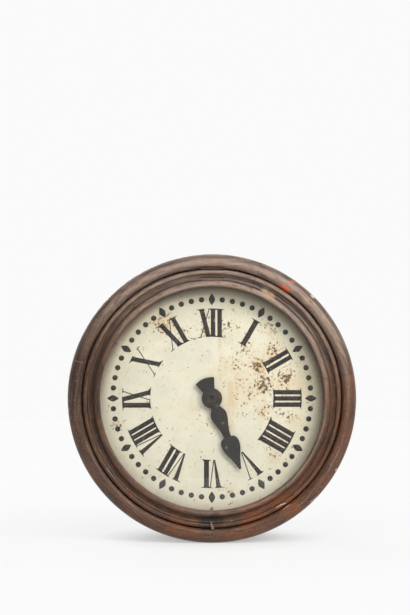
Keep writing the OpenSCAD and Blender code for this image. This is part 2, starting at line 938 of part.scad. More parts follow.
// A rocking iron bar on an arbor, with an arm that carries the driving pawl
module armature() {
    arm_z = ratchet_z + ratchet_t + 0.7;
    arm_t = 3;
    color(iron) {
        rod(armature_pivot, armature_arbor_r, arbor_foot_z, work_z - 0.2);
        rod(armature_pivot, 5, magnet_z - 5, arm_z + arm_t);
        translate([-armature_bar.x / 2, armature_bar_y, magnet_z - armature_bar.z / 2])
            cube([armature_bar.x, armature_bar.y, armature_bar.z / 2 + arm_z - magnet_z]);
        translate([armature_pivot.x, armature_bar_y, arm_z])
            cube([pawl_pivot.x - armature_pivot.x, armature_bar.y, arm_t]);
        rod(pawl_pivot, pawl_eye_r, arm_z, arm_z + arm_t);
        rod(pawl_pivot, pawl_pin_r, ratchet_z - 1.5, arm_z + 1);
        translate([armature_pivot.x, armature_bar_y, magnet_z - 3])
            cube([-armature_pivot.x - armature_bar.x / 2 + 1, armature_bar.y, 6]);
    }
}

// A hooked strip on a round eye, right or left of the wheel. Its tip stands just clear of the teeth.
module pawl(pivot, tip, side) {
    heel = tip.x + side * (pawl_w + 1);
    hook = pivot.y > tip.y ? pawl_w : -pawl_w;
    color(steel)
        difference() {
            union() {
                rod(pivot, pawl_eye_r, ratchet_z, ratchet_z + pawl_t);
                translate([0, 0, ratchet_z])
                    linear_extrude(pawl_t)
                        polygon([
                            pivot + [-side * (pawl_w - 1), 0], pivot + [side * pawl_w, 0],
                            [heel + side * pawl_w, tip.y], tip, [heel, tip.y + hook]
                        ]);
            }
            rod(pivot, pawl_pin_r + run_fit, ratchet_z - 1, ratchet_z + pawl_t + 1);
        }
}

module drive_pawl() {
    pawl(pawl_pivot, [ratchet_r + tip_clear, -2.5], 1);
}

module click() {
    pawl(click_pivot, [-ratchet_r - tip_clear, 2.5], -1);
}

// An insulating block with two screw posts
module terminals() {
    top_z = inner_z + terminal_block.z;
    color("#26211f") {
        translate([-terminal_block.x / 2, terminal_y, inner_z])
            cube(terminal_block);
        for (x = [-terminal_x, terminal_x]) {
            at = [x, terminal_y + terminal_block.y / 2];
            rod(at, post_r, top_z - 1, top_z + post_h);
            rod(at, post_nut_r, top_z + 2, top_z + 2 + post_nut_t);
        }
    }
}

// The covered lead from the socket down to the terminals, as the dial is seen
lead_end = [terminal_block.x / 2, terminal_y + 3, inner_z + 6.5];
lead_route = [
    [0, drum_in_r + 8, 6], [0, drum_in_r - 8, 6], [4, drum_in_r - 33, 8],
    [lead_x - 46, drum_in_r - 66, lead_z - 6], [lead_x - 22, drum_in_r - 98, lead_z - 2],
    [lead_x - 6, drum_in_r - 128, lead_z], [lead_x, 80, lead_z], [lead_x, 40, lead_z],
    [lead_x, 0, lead_z], [lead_x - 8, lead_end.y + 6, lead_z], [lead_x - 20, lead_end.y - 9, lead_z - 2],
    lead_end + [14, -6, 1], lead_end + [7, 0, 0], lead_end
];

function smooth_point(p, i, t) =
    let (
        a = p[max(i - 1, 0)], b = p[i], c = p[i + 1], d = p[min(i + 2, len(p) - 1)],
        t2 = t * t, t3 = t2 * t
    )
    0.5 * (2 * b + t * (c - a) + t2 * (2 * a - 5 * b + 4 * c - d) + t3 * (3 * b - a - 3 * c + d));

module lead() {
    per_span = 3;
    spans = len(lead_route) - 1;
    path = [
        for (i = [0 : spans - 1], k = [0 : per_span - 1]) smooth_point(lead_route, i, k / per_span),
        lead_route[spans]
    ];
    n = len(path);
    rings = [
        for (i = [0 : n - 1])
            let (
                ahead = path[min(i + 1, n - 1)] - path[max(i - 1, 0)],
                along = ahead / norm(ahead),
                side = cross(along, [0, 0, 1]),
                u = side / norm(side),
                v = cross(u, along)
            )
            for (k = [0 : lead_sides - 1])
                path[i] + lead_r * (cos(k * 360 / lead_sides) * u + sin(k * 360 / lead_sides) * v)
    ];
    color("#3a332c")
        polyhedron(
            points = rings,
            faces = concat(
                [[for (k = [0 : lead_sides - 1]) k]],
                [[for (k = [lead_sides - 1 : -1 : 0]) (n - 1) * lead_sides + k]],
                [
                    for (i = [0 : n - 2], k = [0 : lead_sides - 1], half = [0, 1])
                        let (
                            a = i * lead_sides + k,
                            b = i * lead_sides + (k + 1) % lead_sides
                        )
                        half == 0 ? [a, a + lead_sides, b + lead_sides] : [a, b + lead_sides, b]
                ]
            )
        );
}

drum();
board();  // movement_board
board_screws();  // movement_screws
saddle();  // suspension_saddle
flange();  // suspension_flange
inner_plate();  // suspension_plate
bolts();  // suspension_bolts

for (face = [["front", 0], ["rear", 180]]) {
    side = face[0];
    turn = face[1];
    on_face(turn) case_ring();
    on_face(turn) door_ring();
    on_face(turn) glass();
    on_face(turn) glazing_ring();
    on_face(turn) hinge_leaf();
    on_face(turn) hinge_strap();
    on_face(turn) catch();
    on_face(turn) dial();
    on_face(turn) dial_screws();
    on_face(turn) hour_hand();
    on_face(turn) back_plate();
    on_face(turn) front_plate();
    on_face(turn) pillars();
    on_face(turn) ratchet_wheel();
    on_face(turn) motion_wheel();
    on_face(turn) hour_wheel();
    on_face(turn) hour_bridge();
    on_face(turn) magnet_yoke();
    on_face(turn) coils();
    on_face(turn) armature();
    on_face(turn) drive_pawl();
    on_face(turn) click();
    on_face(turn) terminals();
    on_face(turn) lead();
}

on_face(0) minute_arbor(bush_top_z + 2);  // front_minute_arbor
on_face(180) minute_arbor(minute_z + 4.5);  // rear_minute_arbor
on_face(180) minute_hand();  // rear_minute_hand
on_face(180) hand_nut();  // rear_hand_nut
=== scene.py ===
"""Looks of the double-faced hanging clock: worn turned wood, foxed painted dials, black hands, brass works.

The frame is the part's own: metres, X to the right, Z up, the front face looking towards -Y. Shapes on a face
are worked out as that dial is seen, in millimetres: x to the right, y up, z towards the viewer. on_face puts
them on the front (turn 0) or on the back (turn 180).
"""

import math

import bpy
import numpy as np
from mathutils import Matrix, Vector
from mathutils.geometry import delaunay_2d_cdt


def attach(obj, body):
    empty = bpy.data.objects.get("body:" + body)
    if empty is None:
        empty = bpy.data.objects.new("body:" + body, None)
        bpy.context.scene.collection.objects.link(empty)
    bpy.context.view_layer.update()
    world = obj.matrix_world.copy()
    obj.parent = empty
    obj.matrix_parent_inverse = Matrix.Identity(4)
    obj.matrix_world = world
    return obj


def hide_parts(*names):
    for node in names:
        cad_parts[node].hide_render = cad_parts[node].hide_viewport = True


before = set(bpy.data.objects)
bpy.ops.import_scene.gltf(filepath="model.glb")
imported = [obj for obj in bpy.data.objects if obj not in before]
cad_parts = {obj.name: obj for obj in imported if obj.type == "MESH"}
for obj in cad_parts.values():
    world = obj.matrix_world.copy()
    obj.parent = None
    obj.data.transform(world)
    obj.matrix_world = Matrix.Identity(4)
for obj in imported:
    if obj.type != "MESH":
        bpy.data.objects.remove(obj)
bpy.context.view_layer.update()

SIDES = (("front", 0), ("rear", 180))

# Sizes of the part in millimetres
CASE_R = 290.0
FACE_Z = 110.0
RING_IN_R = 261.0
RING_BACK_Z = 60.0
RING_ROUND = 18.0
EDGE_ROUND = 3.0
FLANK_H = 10.0
DRUM_R = 250.0
DRUM_FIT = 0.15
DRUM_END_Z = 66.0
DIAL_Z = 76.0
DIAL_BACK_Z = 74.5
DIAL_SEAT_R = 241.0
LEDGE_R = 216.0
DOOR_STOP_Z = 84.0
DOOR_R = 258.8
SIGHT_R = 224.6
DOOR_BACK_Z = 84.3
BEAD_R = 4.5
BEAD_Z = 103.0
COVE_W = 12.2
COVE_H = 4.5
QUIRK_W = 1
LIP_H = 5.5
NOSE_R = 3.0
GLASS_SEAT_R = 232.9
GLASS_SEAT_Z = 95.3
POCKET_X = 23.3
POCKET_Z = 86.0
RING_POCKET_Y = 262.7
DOOR_POCKET_Y = 257.2
STRAP_SLOT = (236.9, 242.0)
STRAP_FLOOR_Z = 94.9
HAND_Z = 84.0

# Steps round a turned ring, the angle in degrees up to which it is smooth, and how far apart two rows in mm
# or two columns in radians lie where the surface has a step
RING_STEPS = 1200
RING_SMOOTH = 38
ROW_STEP = 0.01
SLOT_STEP = 0.02
COLUMN_STEP = 1e-4

# Planks of a ring: their number, the first glue line, their redness and the step of the grain between them
PLANKS = 6
FIRST_JOINT = math.radians(20)
PLANK_RED = (0.2, 0.4, 0.85, 0.3, 0.05, 0.15)
PLANK_OFFSET = (731, 53, 29)

# How each band of a ring is paled and darkened, every 45 degrees clockwise from six back to six: 1 is pale,
# more than 1 greyed as well, and below 0 darker. Besides wear, dusty grey and soiling, the rows hold painted
# light and shade: the crest and bead painted pale on top, the lip pale all round but for the left, and the
# flank painted dark from six to nine
HANDLED_AND_LIT = {
    "crest": (0.3, 0.3, 0.35, 1.0, 1.0, 1.0, 0.9, 0.6, 0.3),
    "flank": (-0.45, -0.75, -0.5, 0.0, 0.0, 0.2, -0.1, 0.0, -0.45),
    "fall": (-0.2, -0.15, -0.15, -0.3, -0.4, -0.5, -0.25, 0.0, -0.2),
    "bead": (-0.4, -0.55, -0.25, 1.1, 1.1, 1.2, 0.7, 0.4, -0.4),
    "cove": (-0.05, -0.1, -0.32, -0.25, -0.4, -0.42, -0.1, 0.1, -0.05),
    "lip": (1.4, 0.9, -0.35, 1.0, 1.0, 1.0, 1.3, 1.5, 1.4),
}
# Where each band's wear, soiling and painted light and shade lie: the radius of its middle, its half width
# and the z above which it lies
RUBBED_AND_LIT = {
    "crest": (CASE_R - RING_ROUND + 1, 5.0, 105),
    "flank": (268.0, 4.0, 98),
    "fall": (283.0, 4.0, 98),
    "bead": (DOOR_R - BEAD_R - 2.2, 3.2, 103),
    "lip": (229.0, 4.5, 104),
}
# The case's outer edge: its rub, half width and least z
EDGE_RUB, EDGE_RUB_W, EDGE_RUB_Z = 0.5, 2.0, 80
# The bead's side towards the case: how much less wear and painted light it has, from what radius and over
# what width
BEAD_SIDE, BEAD_SIDE_R, BEAD_SIDE_EASE = 0.5, 255.5, 2
# Darkening in the cove: its least z and its gaps to the top and the outer side, and in the quirk its radius,
# half width, share and greatest z
COVE_LEAST_Z, COVE_TOP, COVE_SIDE = 95, 0.4, 2
QUIRK_R, QUIRK_DIRT_W, QUIRK_DARK, QUIRK_MOST_Z = 237.2, 1.6, 2.1, 105
# Pale in the groove round the door, dusty grey and painted light that lifts the groove's shade: its share,
# greatest z and easing on the case, and its width on both rings
GROOVE_DUST_AND_LIGHT, PALE_GROOVE_Z, PALE_GROOVE_EASE, PALE_GROOVE_ON_CASE, PALE_GROOVE_ON_DOOR = 1.4, 101, 4, 3, 1.2
# The slot of a door's strap: the radius from which the front eases into its straight edges, how far from the
# bead this ends, and how wide the painted shadow of the slot's gaps is on both sides
SLOT_EASE_R, SLOT_EASE_END = 229, 0.5
SLOT_SHADE_IN, SLOT_SHADE_OUT = 0.8, 2.2


def colour(code):
    """An sRGB hex value as linear red, green, blue and alpha."""
    s = np.array([int(code[i : i + 2], 16) for i in (1, 3, 5)]) / 255
    linear = np.where(s <= 0.04045, s / 12.92, ((s + 0.055) / 1.055) ** 2.4)
    return (*linear.tolist(), 1.0)


def feed(node, inputs):
    """Sets a node's inputs to values, or links them to other nodes' outputs."""
    for key, value in inputs.items():
        if isinstance(value, bpy.types.NodeSocket):
            node.id_data.links.new(value, node.inputs[key])
        else:
            node.inputs[key].default_value = value


def add(tree, kind, inputs, out=0, stops=(), **settings):
    """Adds a node with its settings, its inputs and the stops of a ramp, and returns one of its outputs."""
    node = tree.nodes.new("ShaderNode" + kind)
    for name, value in settings.items():
        setattr(node, name, value)
    feed(node, inputs)
    for i, (place, code) in enumerate(stops):
        points = node.color_ramp.elements
        point = points[i] if i < len(points) else points.new(place)
        point.position, point.color = place, colour(code)
    return node.outputs[out]


def surface(name):
    """A new material, its tree and the place in millimetres."""
    made = bpy.data.materials.new(name)
    made.use_nodes = True
    tree = made.node_tree
    metres = add(tree, "TexCoord", {}, "Object")
    return made, tree, add(tree, "VectorMath", {0: metres, "Scale": 1000.0}, operation="SCALE")


def patches(tree, place, size, low, high, most=1.0, detail=4.0, roughness=0.6):
    """Soft patches about size mm across, or one size for each axis: 0 at low noise, most at high noise."""
    finer = (1 / np.broadcast_to(size, 3)).tolist()
    grain = add(tree, "VectorMath", {0: place, 1: finer}, operation="MULTIPLY")
    value = add(tree, "TexNoise", {"Vector": grain, "Scale": 1.0, "Detail": detail, "Roughness": roughness})
    limits = {"Value": value, "From Min": low, "From Max": high, "To Max": most}
    return add(tree, "MapRange", limits, interpolation_type="SMOOTHSTEP")


def near(tree, place, spot, radius, most=1.0, soft=0.2):
    """most near a spot, eased to 0 at the radius in mm."""
    gap = add(tree, "VectorMath", {0: place, 1: spot}, "Value", operation="DISTANCE")
    limits = {"Value": gap, "From Min": radius * soft, "From Max": radius, "To Min": most, "To Max": 0.0}
    return add(tree, "MapRange", limits, interpolation_type="SMOOTHSTEP")


def clouded(name, size, low, high, *codes, detail=4.0):
    """A surface in clouds of its colours: what surface gives, then the clouds and their colour."""
    made, tree, place = surface(name)
    cloud = patches(tree, place, size, low, high, detail=detail)
    stops = [(k / (len(codes) - 1), code) for k, code in enumerate(codes)]
    return made, tree, place, cloud, add(tree, "ValToRGB", {0: cloud}, stops=stops)


def coats(tree, tone, layers):
    """Colours laid on a colour one after another, each by its own share from 0 to 1."""
    for share, code in layers:
        tone = add(tree, "Mix", {0: share, 6: tone, 7: colour(code)}, 2, data_type="RGBA")
    return tone


def dress(made, tone, rough, relief=(), specular=0.5, metallic=0.0, instead=()):
    """Gives a surface its colour, roughness, relief (height, strength, depth in mm), gloss and metal.

    instead is a share and the shader that is shown by that share.
    """
    tree = made.node_tree
    shader = tree.nodes["Principled BSDF"]
    inputs = {"Base Color": tone, "Roughness": rough, "Specular IOR Level": specular, "Metallic": metallic}
    if relief:
        height, strength, depth = relief
        bump = {"Strength": strength, "Distance": depth / 1000, "Height": height}
        inputs["Normal"] = add(tree, "Bump", bump)
    feed(shader, inputs)
    if instead:
        share, other = instead
        both = add(tree, "MixShader", {0: share, 1: shader.outputs["BSDF"], 2: other})
        feed(tree.nodes["Material Output"], {"Surface": both})
    return made


def rays(tree, *kinds):
    """1 for rays of these kinds and 0 for all others."""
    path = add(tree, "LightPath", {}).node.outputs
    found = 0.0
    for kind in kinds:
        found = add(tree, "Math", {0: found, 1: path[f"Is {kind} Ray"]}, operation="MAXIMUM")
    return found


def on_face(points, turn):
    """Points of a dial's frame in millimetres as points of the row's frame in metres."""
    x, y, z = np.moveaxis(np.asarray(points, float), -1, 0) / 1000
    return np.stack([x, -z, y] if turn == 0 else [-x, z, y], -1)


def spot_at(x, y, z=DIAL_Z, turn=0):
    """A point of a dial's frame as the row has it, both in millimetres."""
    return (on_face([x, y, z], turn) * 1000).tolist()


def clock_spot(clock_deg, radius, z, turn=0):
    """The same for a clockwise angle from twelve and a radius."""
    a = math.radians(clock_deg)
    return spot_at(radius * math.sin(a), radius * math.cos(a), z, turn)


def placed(name, data):
    """A new object in the scene."""
    made = bpy.data.objects.new(name, data)
    bpy.context.scene.collection.objects.link(made)
    return made


def piece(name, points, faces, material, body, smooth=None):
    """A mesh object at the origin from whole arrays, shaded smooth up to the angle smooth in degrees."""
    mesh = bpy.data.meshes.new(name)
    mesh.vertices.add(len(points))
    mesh.vertices.foreach_set("co", points.astype(np.float32).ravel())
    mesh.loops.add(faces.size)
    mesh.loops.foreach_set("vertex_index", faces.astype(np.int32).ravel())
    mesh.polygons.add(len(faces))
    mesh.polygons.foreach_set("loop_start", np.arange(0, faces.size, faces.shape[1], dtype=np.int32))
    mesh.update(calc_edges=True)
    if smooth is not None:
        mesh.polygons.foreach_set("use_smooth", np.ones(len(faces), bool))
        mesh.set_sharp_from_angle(angle=math.radians(smooth))
    mesh.materials.append(material)
    mesh.validate()
    made = placed(name, mesh)
    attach(made, body)
    return made


# The studio: white paper behind and under the clock, a dim room on the camera's side and four soft lamps

# The paper floor in metres, and the distances in mm from the clock's foot over which its shadow fades
FLOOR_Z = -CASE_R / 1000
FLOOR_FRONT_Y = -1.88
FLOOR_BACK_Y = 9.0
FLOOR_HALF_W = 7.0
SHADOW_IN, SHADOW_OUT, PAPER_OUT = 30.0, 240.0, 1000.0

# The picture and the camera's distance in pixels, metres to a pixel at the depth PX_DEPTH_Y, the middle of
# the clock in pixels and the camera's height in metres
FRAME_W, FRAME_H = 410, 615
FOCAL_PX = 1300.0
PX = 2.014e-3
PX_DEPTH_Y = -0.088
CLOCK_PX = (211.9, 398.4)
CAMERA_Z = 0.03

# Name, place and size in metres, power in watts and colour
LAMPS = (
    ("key softbox", (1.75, -1.75, 1.35), 1.0, 50.0, "#fffaf2"),
    ("high softbox", (0.2, -1.9, 1.9), 1.5, 36.0, "#ffffff"),
    ("left fill", (-2.1, -1.9, 0.6), 1.4, 3.0, "#f4f8ff"),
    ("back softbox", (-0.9, 2.3, 1.1), 1.6, 42.0, "#ffffff"),
)


def paper():
    """Matt white paper: it keeps the clock's shadow and fades to pure white away from it."""
    made, tree, place = surface("white paper sweep")
    seen = rays(tree, "Camera", "Glossy", "Transmission")
    gap = add(tree, "VectorMath", {0: place, 1: (0.0, 0.0, -CASE_R)}, "Value", operation="DISTANCE")
    limits = {"Value": gap, "From Min": SHADOW_IN, "From Max": SHADOW_OUT, "To Min": 0.3, "To Max": 0.85}
    close = add(tree, "MapRange", limits)
    limits = {"Value": gap, "From Min": SHADOW_OUT, "From Max": PAPER_OUT, "To Max": 0.15}
    far = add(tree, "MapRange", limits)
    share = add(tree, "Math", {0: close, 1: far}, operation="ADD")
    share = add(tree, "Math", {0: seen, 1: share}, operation="MULTIPLY")
    white = add(tree, "Emission", {"Color": colour("#fbfbfb"), "Strength": 1.0})
    return dress(made, colour("#dedede"), 0.9, specular=0.1, instead=(share, white))


def studio():
    """Floor, world, lamps and camera."""
    floor_mesh = bpy.data.meshes.new("paper_floor")
    y0, y1, x = FLOOR_FRONT_Y, FLOOR_BACK_Y, FLOOR_HALF_W
    corners = [(-x, y0, FLOOR_Z), (x, y0, FLOOR_Z), (x, y1, FLOOR_Z), (-x, y1, FLOOR_Z)]
    floor_mesh.from_pydata(corners, [], [(0, 1, 2, 3)])
    floor_mesh.materials.append(paper())
    placed("paper_floor", floor_mesh)

    world = bpy.data.worlds.new("studio")
    bpy.context.scene.world = world
    world.use_nodes = True
    tree = world.node_tree
    light = tree.nodes["Background"]
    feed(light, {"Color": colour("#f4f6fa"), "Strength": 0.36})
    dim = add(tree, "Background", {"Color": colour("#4c4a48"), "Strength": 1.0})
    white = add(tree, "Background", {"Color": colour("#fafafa"), "Strength": 1.0})
    glossy = rays(tree, "Glossy")
    along_y = add(tree, "SeparateXYZ", {"Vector": add(tree, "TexCoord", {}, "Generated")}, "Y")
    behind = add(tree, "MapRange", {"Value": along_y, "From Min": -0.1, "From Max": 0.1})
    mirrored = add(tree, "Math", {0: glossy, 1: behind}, operation="MULTIPLY")
    seen = add(tree, "Math", {0: rays(tree, "Camera", "Transmission"), 1: mirrored}, operation="MAXIMUM")
    room = add(tree, "MixShader", {0: glossy, 1: light.outputs[0], 2: dim})
    both = add(tree, "MixShader", {0: seen, 1: room, 2: white})
    feed(tree.nodes["World Output"], {"Surface": both})

    for name, place, size, power, shade in LAMPS:
        lamp = bpy.data.lights.new(name, "AREA")
        lamp.shape = "SQUARE"
        lamp.size = size
        lamp.energy = power
        lamp.color = colour(shade)[:3]
        held = placed(name, lamp)
        held.location = place
        held.rotation_euler = (-Vector(place)).to_track_quat("-Z", "Y").to_euler()

    # A level camera a little above the arbors, whose shift sets the clock low in the tall picture
    optics = bpy.data.cameras.new("camera")
    optics.lens = FOCAL_PX * optics.sensor_width / FRAME_H
    optics.clip_start, optics.clip_end = 0.05, 60
    away = FOCAL_PX * PX
    down = CLOCK_PX[1] - FRAME_H / 2
    optics.shift_y = (down - CAMERA_Z / PX) / FRAME_H
    camera = placed("camera", optics)
    camera.location = ((FRAME_W / 2 - CLOCK_PX[0]) * PX, PX_DEPTH_Y - away, CAMERA_Z)
    camera.rotation_euler = (math.radians(90), 0, 0)
    bpy.context.scene.camera = camera
    bpy.context.scene.view_settings.view_transform = "Standard"


studio()


# Turned wood, each ring glued up from six planks

# Marks of use on the front rings, all lengths in mm. Each blot is a clock angle, radius, z, size, colour and
# share, and each scratch a clock angle and radius of its two ends, width, colour and share
SMEARS = (
    (31.0, 264.0, 104.0, 8.0, "#c85f3e", 0.7),
    (33.2, 264.5, 105.0, 9.0, "#e0683f", 0.9),
    (35.0, 264.5, 105.0, 8.0, "#e66a3e", 1.0),
    (33.6, 277.0, 110.0, 8.0, "#b0664c", 0.6),
    (34.6, 283.0, 106.0, 7.0, "#a8684e", 0.6),
    (31.6, 285.6, 102.0, 4.0, "#3a2a24", 0.9),
    (26.5, 239.0, 103.0, 13.0, "#b39a78", 0.7),
    (29.8, 238.0, 104.0, 13.0, "#b89468", 0.7),
    (44.0, 270.0, 109.0, 10.0, "#a39a80", 0.35),
    (44.6, 286.5, 100.0, 7.5, "#cfb69c", 0.9),
    (265.5, 288.0, 98.0, 5.0, "#b9a898", 0.7),
    (119.8, 286.0, 102.0, 4.0, "#cfc6bb", 0.8),
)
SPATTER = (
    (180.2, 241.0, 101.0, 17.0, "#17110b", 1.0),
    (183.5, 246.0, 102.0, 17.0, "#1c150e", 1.0),
    (177.0, 245.0, 101.0, 17.0, "#1c150e", 1.0),
    (181.5, 251.0, 107.0, 12.0, "#1c150e", 0.9),
    (178.0, 235.0, 107.0, 11.0, "#2a2118", 0.8),
)
SCRATCHES = (
    (149.4, 253.3, 147.3, 253.6, 1.4, "#e6dccb", 0.9),
    (147.4, 252.8, 144.9, 255.8, 1.7, "#e6dccb", 0.95),
    (147.2, 263.4, 143.9, 263.3, 1.8, "#c9bba8", 0.8),
    (136.2, 286.6, 133.2, 288.4, 2.6, "#c4bab0", 0.85),
    (285.5, 285.0, 285.4, 267.0, 1.8, "#a08a70", 0.7),
    (171.7, 270.0, 171.6, 277.0, 1.6, "#a8846e", 0.7),
    (26.0, 231.0, 33.0, 231.5, 1.6, "#d3c3ae", 0.6),
    (112.0, 274.0, 122.0, 273.5, 1.8, "#b08f78", 0.5),
)
SCRATCH_Z = 105.0
FLATTENED = (1.0, 0.1, 1.0)


def stripe(tree, place, start, end, width, most):
    """most on the line between two spots, eased to 0 at half the width in mm.

    Depth counts for a tenth only, so the line also lies on a face that is rounded.
    """
    start, end = np.array(start) * FLATTENED, np.array(end) * FLATTENED
    run = end - start
    flat = add(tree, "VectorMath", {0: place, 1: FLATTENED}, operation="MULTIPLY")
    away = add(tree, "VectorMath", {0: flat, 1: start.tolist()}, operation="SUBTRACT")
    along = {0: away, 1: (run / (run @ run)).tolist()}
    along = add(tree, "VectorMath", along, "Value", operation="DOT_PRODUCT")
    reached = add(tree, "MapRange", {"Value": along})
    reached = add(tree, "VectorMath", {0: run.tolist(), "Scale": reached}, operation="SCALE")
    gap = add(tree, "VectorMath", {0: away, 1: reached}, "Value", operation="DISTANCE")
    limits = {"Value": gap, "From Min": width / 4, "From Max": width / 2, "To Min": most, "To Max": 0.0}
    return add(tree, "MapRange", limits)


def worn_wood():
    """Walnut-stained hardwood, turned, varnished, scuffed by use and weathered, with painted light and shade.

    The eye sees long streaks that follow each plank, fine dark pores, paler edges made paler on top by
    painted light, darker quirks, redder planks, and a painted grey sheen on the upper half. The grain
    attribute holds millimetres along and across the plank, rub_and_light is 1 where wear and painted light
    are most, more where dusty grey and painted sheen lie on it and -1 where soiling and painted shade darken
    it, joint is the distance to the nearest glue line in millimetres, and red the plank's redness.
    """
    made, tree, place = surface("worn varnished walnut ring")
    grain = add(tree, "Attribute", {}, "Vector", attribute_name="grain")
    named = "rub_and_light", "red", "joint"
    rub_and_light, red, joint = (add(tree, "Attribute", {}, "Fac", attribute_name=name) for name in named)
    # Towards the top the grey sheen and the paler edges grow: painted light
    upper = add(tree, "VectorMath", {0: place, 1: (0.14, 0.0, 0.99)}, "Value", operation="DOT_PRODUCT")
    limits = {"Value": upper, "From Min": 10.0, "From Max": 250.0, "To Max": 0.75}
    painted_sheen = add(tree, "MapRange", limits, interpolation_type="SMOOTHSTEP")
    limits = {"Value": upper, "From Min": 20.0, "From Max": 200.0, "To Min": 0.16, "To Max": 0.75}
    worn_and_lit = add(tree, "MapRange", limits)
    edges = add(tree, "MapRange", {"Value": rub_and_light, "From Min": 0.1, "From Max": 0.9, "To Max": worn_and_lit})
    # From rub_and_light: darker for soiling and painted shade, greyer for dusty grey and painted light
    dirt_and_shade = add(tree, "MapRange", {"Value": rub_and_light, "From Min": -0.1, "From Max": -0.95, "To Max": 0.88})
    dust_and_light = add(tree, "MapRange", {"Value": rub_and_light, "From Min": 1.0, "From Max": 1.5, "To Max": 0.45})
    glue = add(tree, "MapRange", {"Value": joint, "From Min": 0.9, "From Max": 0.2, "To Max": 0.7})

    streaks = add(tree, "VectorMath", {0: grain, 1: (0.011, 0.2, 0.2)}, operation="MULTIPLY")
    streaks = add(tree, "TexNoise", {"Vector": streaks, "Scale": 1.0, "Detail": 5.0, "Roughness": 0.62})
    tone = add(tree, "ValToRGB", {0: streaks}, stops=[(0.34, "#2b1d16"), (0.5, "#4f3728"), (0.66, "#6b4d39")])
    scuffs = patches(tree, grain, (40, 2.2, 2.2), 0.38, 0.62, detail=6, roughness=0.72)
    tone = coats(tree, tone, [
        (patches(tree, place, (40, 70, 40), 0.36, 0.6, red), "#76421f"),
        (patches(tree, grain, (34, 2.0, 2.0), 0.5, 0.64, 0.65, 4), "#24170f"),
        (patches(tree, grain, (60, 5, 5), 0.3, 0.75, painted_sheen, 6, 0.7), "#9c8c80"),
        (patches(tree, grain, (22, 3, 3), 0.34, 0.6, edges, 5, 0.75), "#a48c7a"),
        (patches(tree, place, 2.6, 0.65, 0.7, 0.75, 3), "#c6b5a2"),
        (dirt_and_shade, "#24170f"),
        (patches(tree, grain, (30, 3, 3), 0.25, 0.55, dust_and_light), "#968a7e"),
        (glue, "#1a110c"),
    ])
    for marks, blot, low in ((SMEARS, 5.0, 0.3), (SPATTER, 3.0, 0.36)):
        for clock, radius, z, size, shade, most in marks:
            mask = near(tree, place, clock_spot(clock, radius, z), size, most, 0.3)
            tone = coats(tree, tone, [(patches(tree, place, blot, low, low + 0.14, mask, 4), shade)])
    for clock0, radius0, clock1, radius1, width, shade, most in SCRATCHES:
        start, end = clock_spot(clock0, radius0, SCRATCH_Z), clock_spot(clock1, radius1, SCRATCH_Z)
        mask = stripe(tree, place, start, end, width, most)
        tone = coats(tree, tone, [(patches(tree, place, 3, 0.3, 0.5, mask), shade)])
    gloss = add(tree, "MapRange", {"Value": scuffs, "To Min": 0.34, "To Max": 0.56})
    relief = add(tree, "Math", {0: scuffs, 1: glue}, operation="SUBTRACT")
    return dress(made, tone, gloss, (relief, 0.3, 0.3))


case_wood = worn_wood()


def arc(centre, rx, ry, start, stop, count):
    """Points of an elliptic arc about a centre, angles in degrees."""
    a = np.radians(np.linspace(start, stop, count))
    return np.stack([centre[0] + rx * np.cos(a), centre[1] + ry * np.sin(a)], 1)


def line(a, b, count):
    """Points of a straight line, its first end left out."""
    t = np.linspace(0, 1, count + 1)[1:, None]
    return np.asarray(a, float) * (1 - t) + np.asarray(b, float) * t


def closed_grid(rows, columns):
    """Quads of a grid that closes both ways."""
    i, j = np.meshgrid(np.arange(rows), np.arange(columns), indexing="ij")
    k, m = (i + 1) % rows, (j + 1) % columns
    return np.stack([i * columns + j, k * columns + j, k * columns + m, i * columns + m], -1).reshape(-1, 4)


def handled_and_lit(band, a):
    """The wear, soiling and painted light and shade of a band at angles a, eased between the values of its
    row.
    """
    return np.interp(a, np.linspace(-math.pi, math.pi, 9), HANDLED_AND_LIT[band])


def ridge(r, middle, half_width):
    """exp(-((r - middle) / half_width) ** 2): 1 on a circle and eased off to both sides."""
    return np.exp(-(((r - middle) / half_width) ** 2))


def rubbed_and_lit(band, a, r, z):
    """The wear, soiling and painted light and shade of one band at angles a, from its rows of HANDLED_AND_LIT
    and RUBBED_AND_LIT.
    """
    middle, half_width, low = RUBBED_AND_LIT[band]
    return handled_and_lit(band, a) * ridge(r, middle, half_width) * (z > low)


def plank_attributes(made, faces, a_grid, r_grid, z_grid, rub_and_light_grid):
    """Stores grain, joint, red and rub_and_light (wear, painted light and shade) at the corners of a ring's
    faces.

    A corner belongs to the plank of its face, so no value runs across a glue line. With a the angle from the
    plank's middle, the grain's first number is r sin(a) and its second r (0.7 + 0.3 cos(a)), a chord that
    follows the ring in part, with a wide step from plank to plank.
    """
    a, r, z = (g.ravel()[faces] for g in (a_grid, r_grid, z_grid))
    a = np.where(a - a.min(1, keepdims=True) > math.pi, a - 2 * math.pi, a)
    width = 2 * math.pi / PLANKS
    number = np.floor((a.mean(1, keepdims=True) - FIRST_JOINT) / width)
    local = a - FIRST_JOINT - (number + 0.5) * width
    along, across = r * np.sin(local), r * (0.7 + 0.3 * np.cos(local))
    grain = np.stack([along, across, z], -1) + number[..., None] * PLANK_OFFSET
    joint = r * np.sin(np.maximum(width / 2 - np.abs(local), 0))
    red = np.array(PLANK_RED)[number.astype(int) % PLANKS] + np.zeros_like(joint)
    for name, kind, key, values in (
        ("grain", "FLOAT_VECTOR", "vector", grain),
        ("red", "FLOAT", "value", red),
        ("joint", "FLOAT", "value", joint),
        ("rub_and_light", "FLOAT", "value", rub_and_light_grid.ravel()[faces]),
    ):
        layer = made.data.attributes.new(name, kind, "CORNER")
        layer.data.foreach_set(key, values.astype(np.float32).ravel())


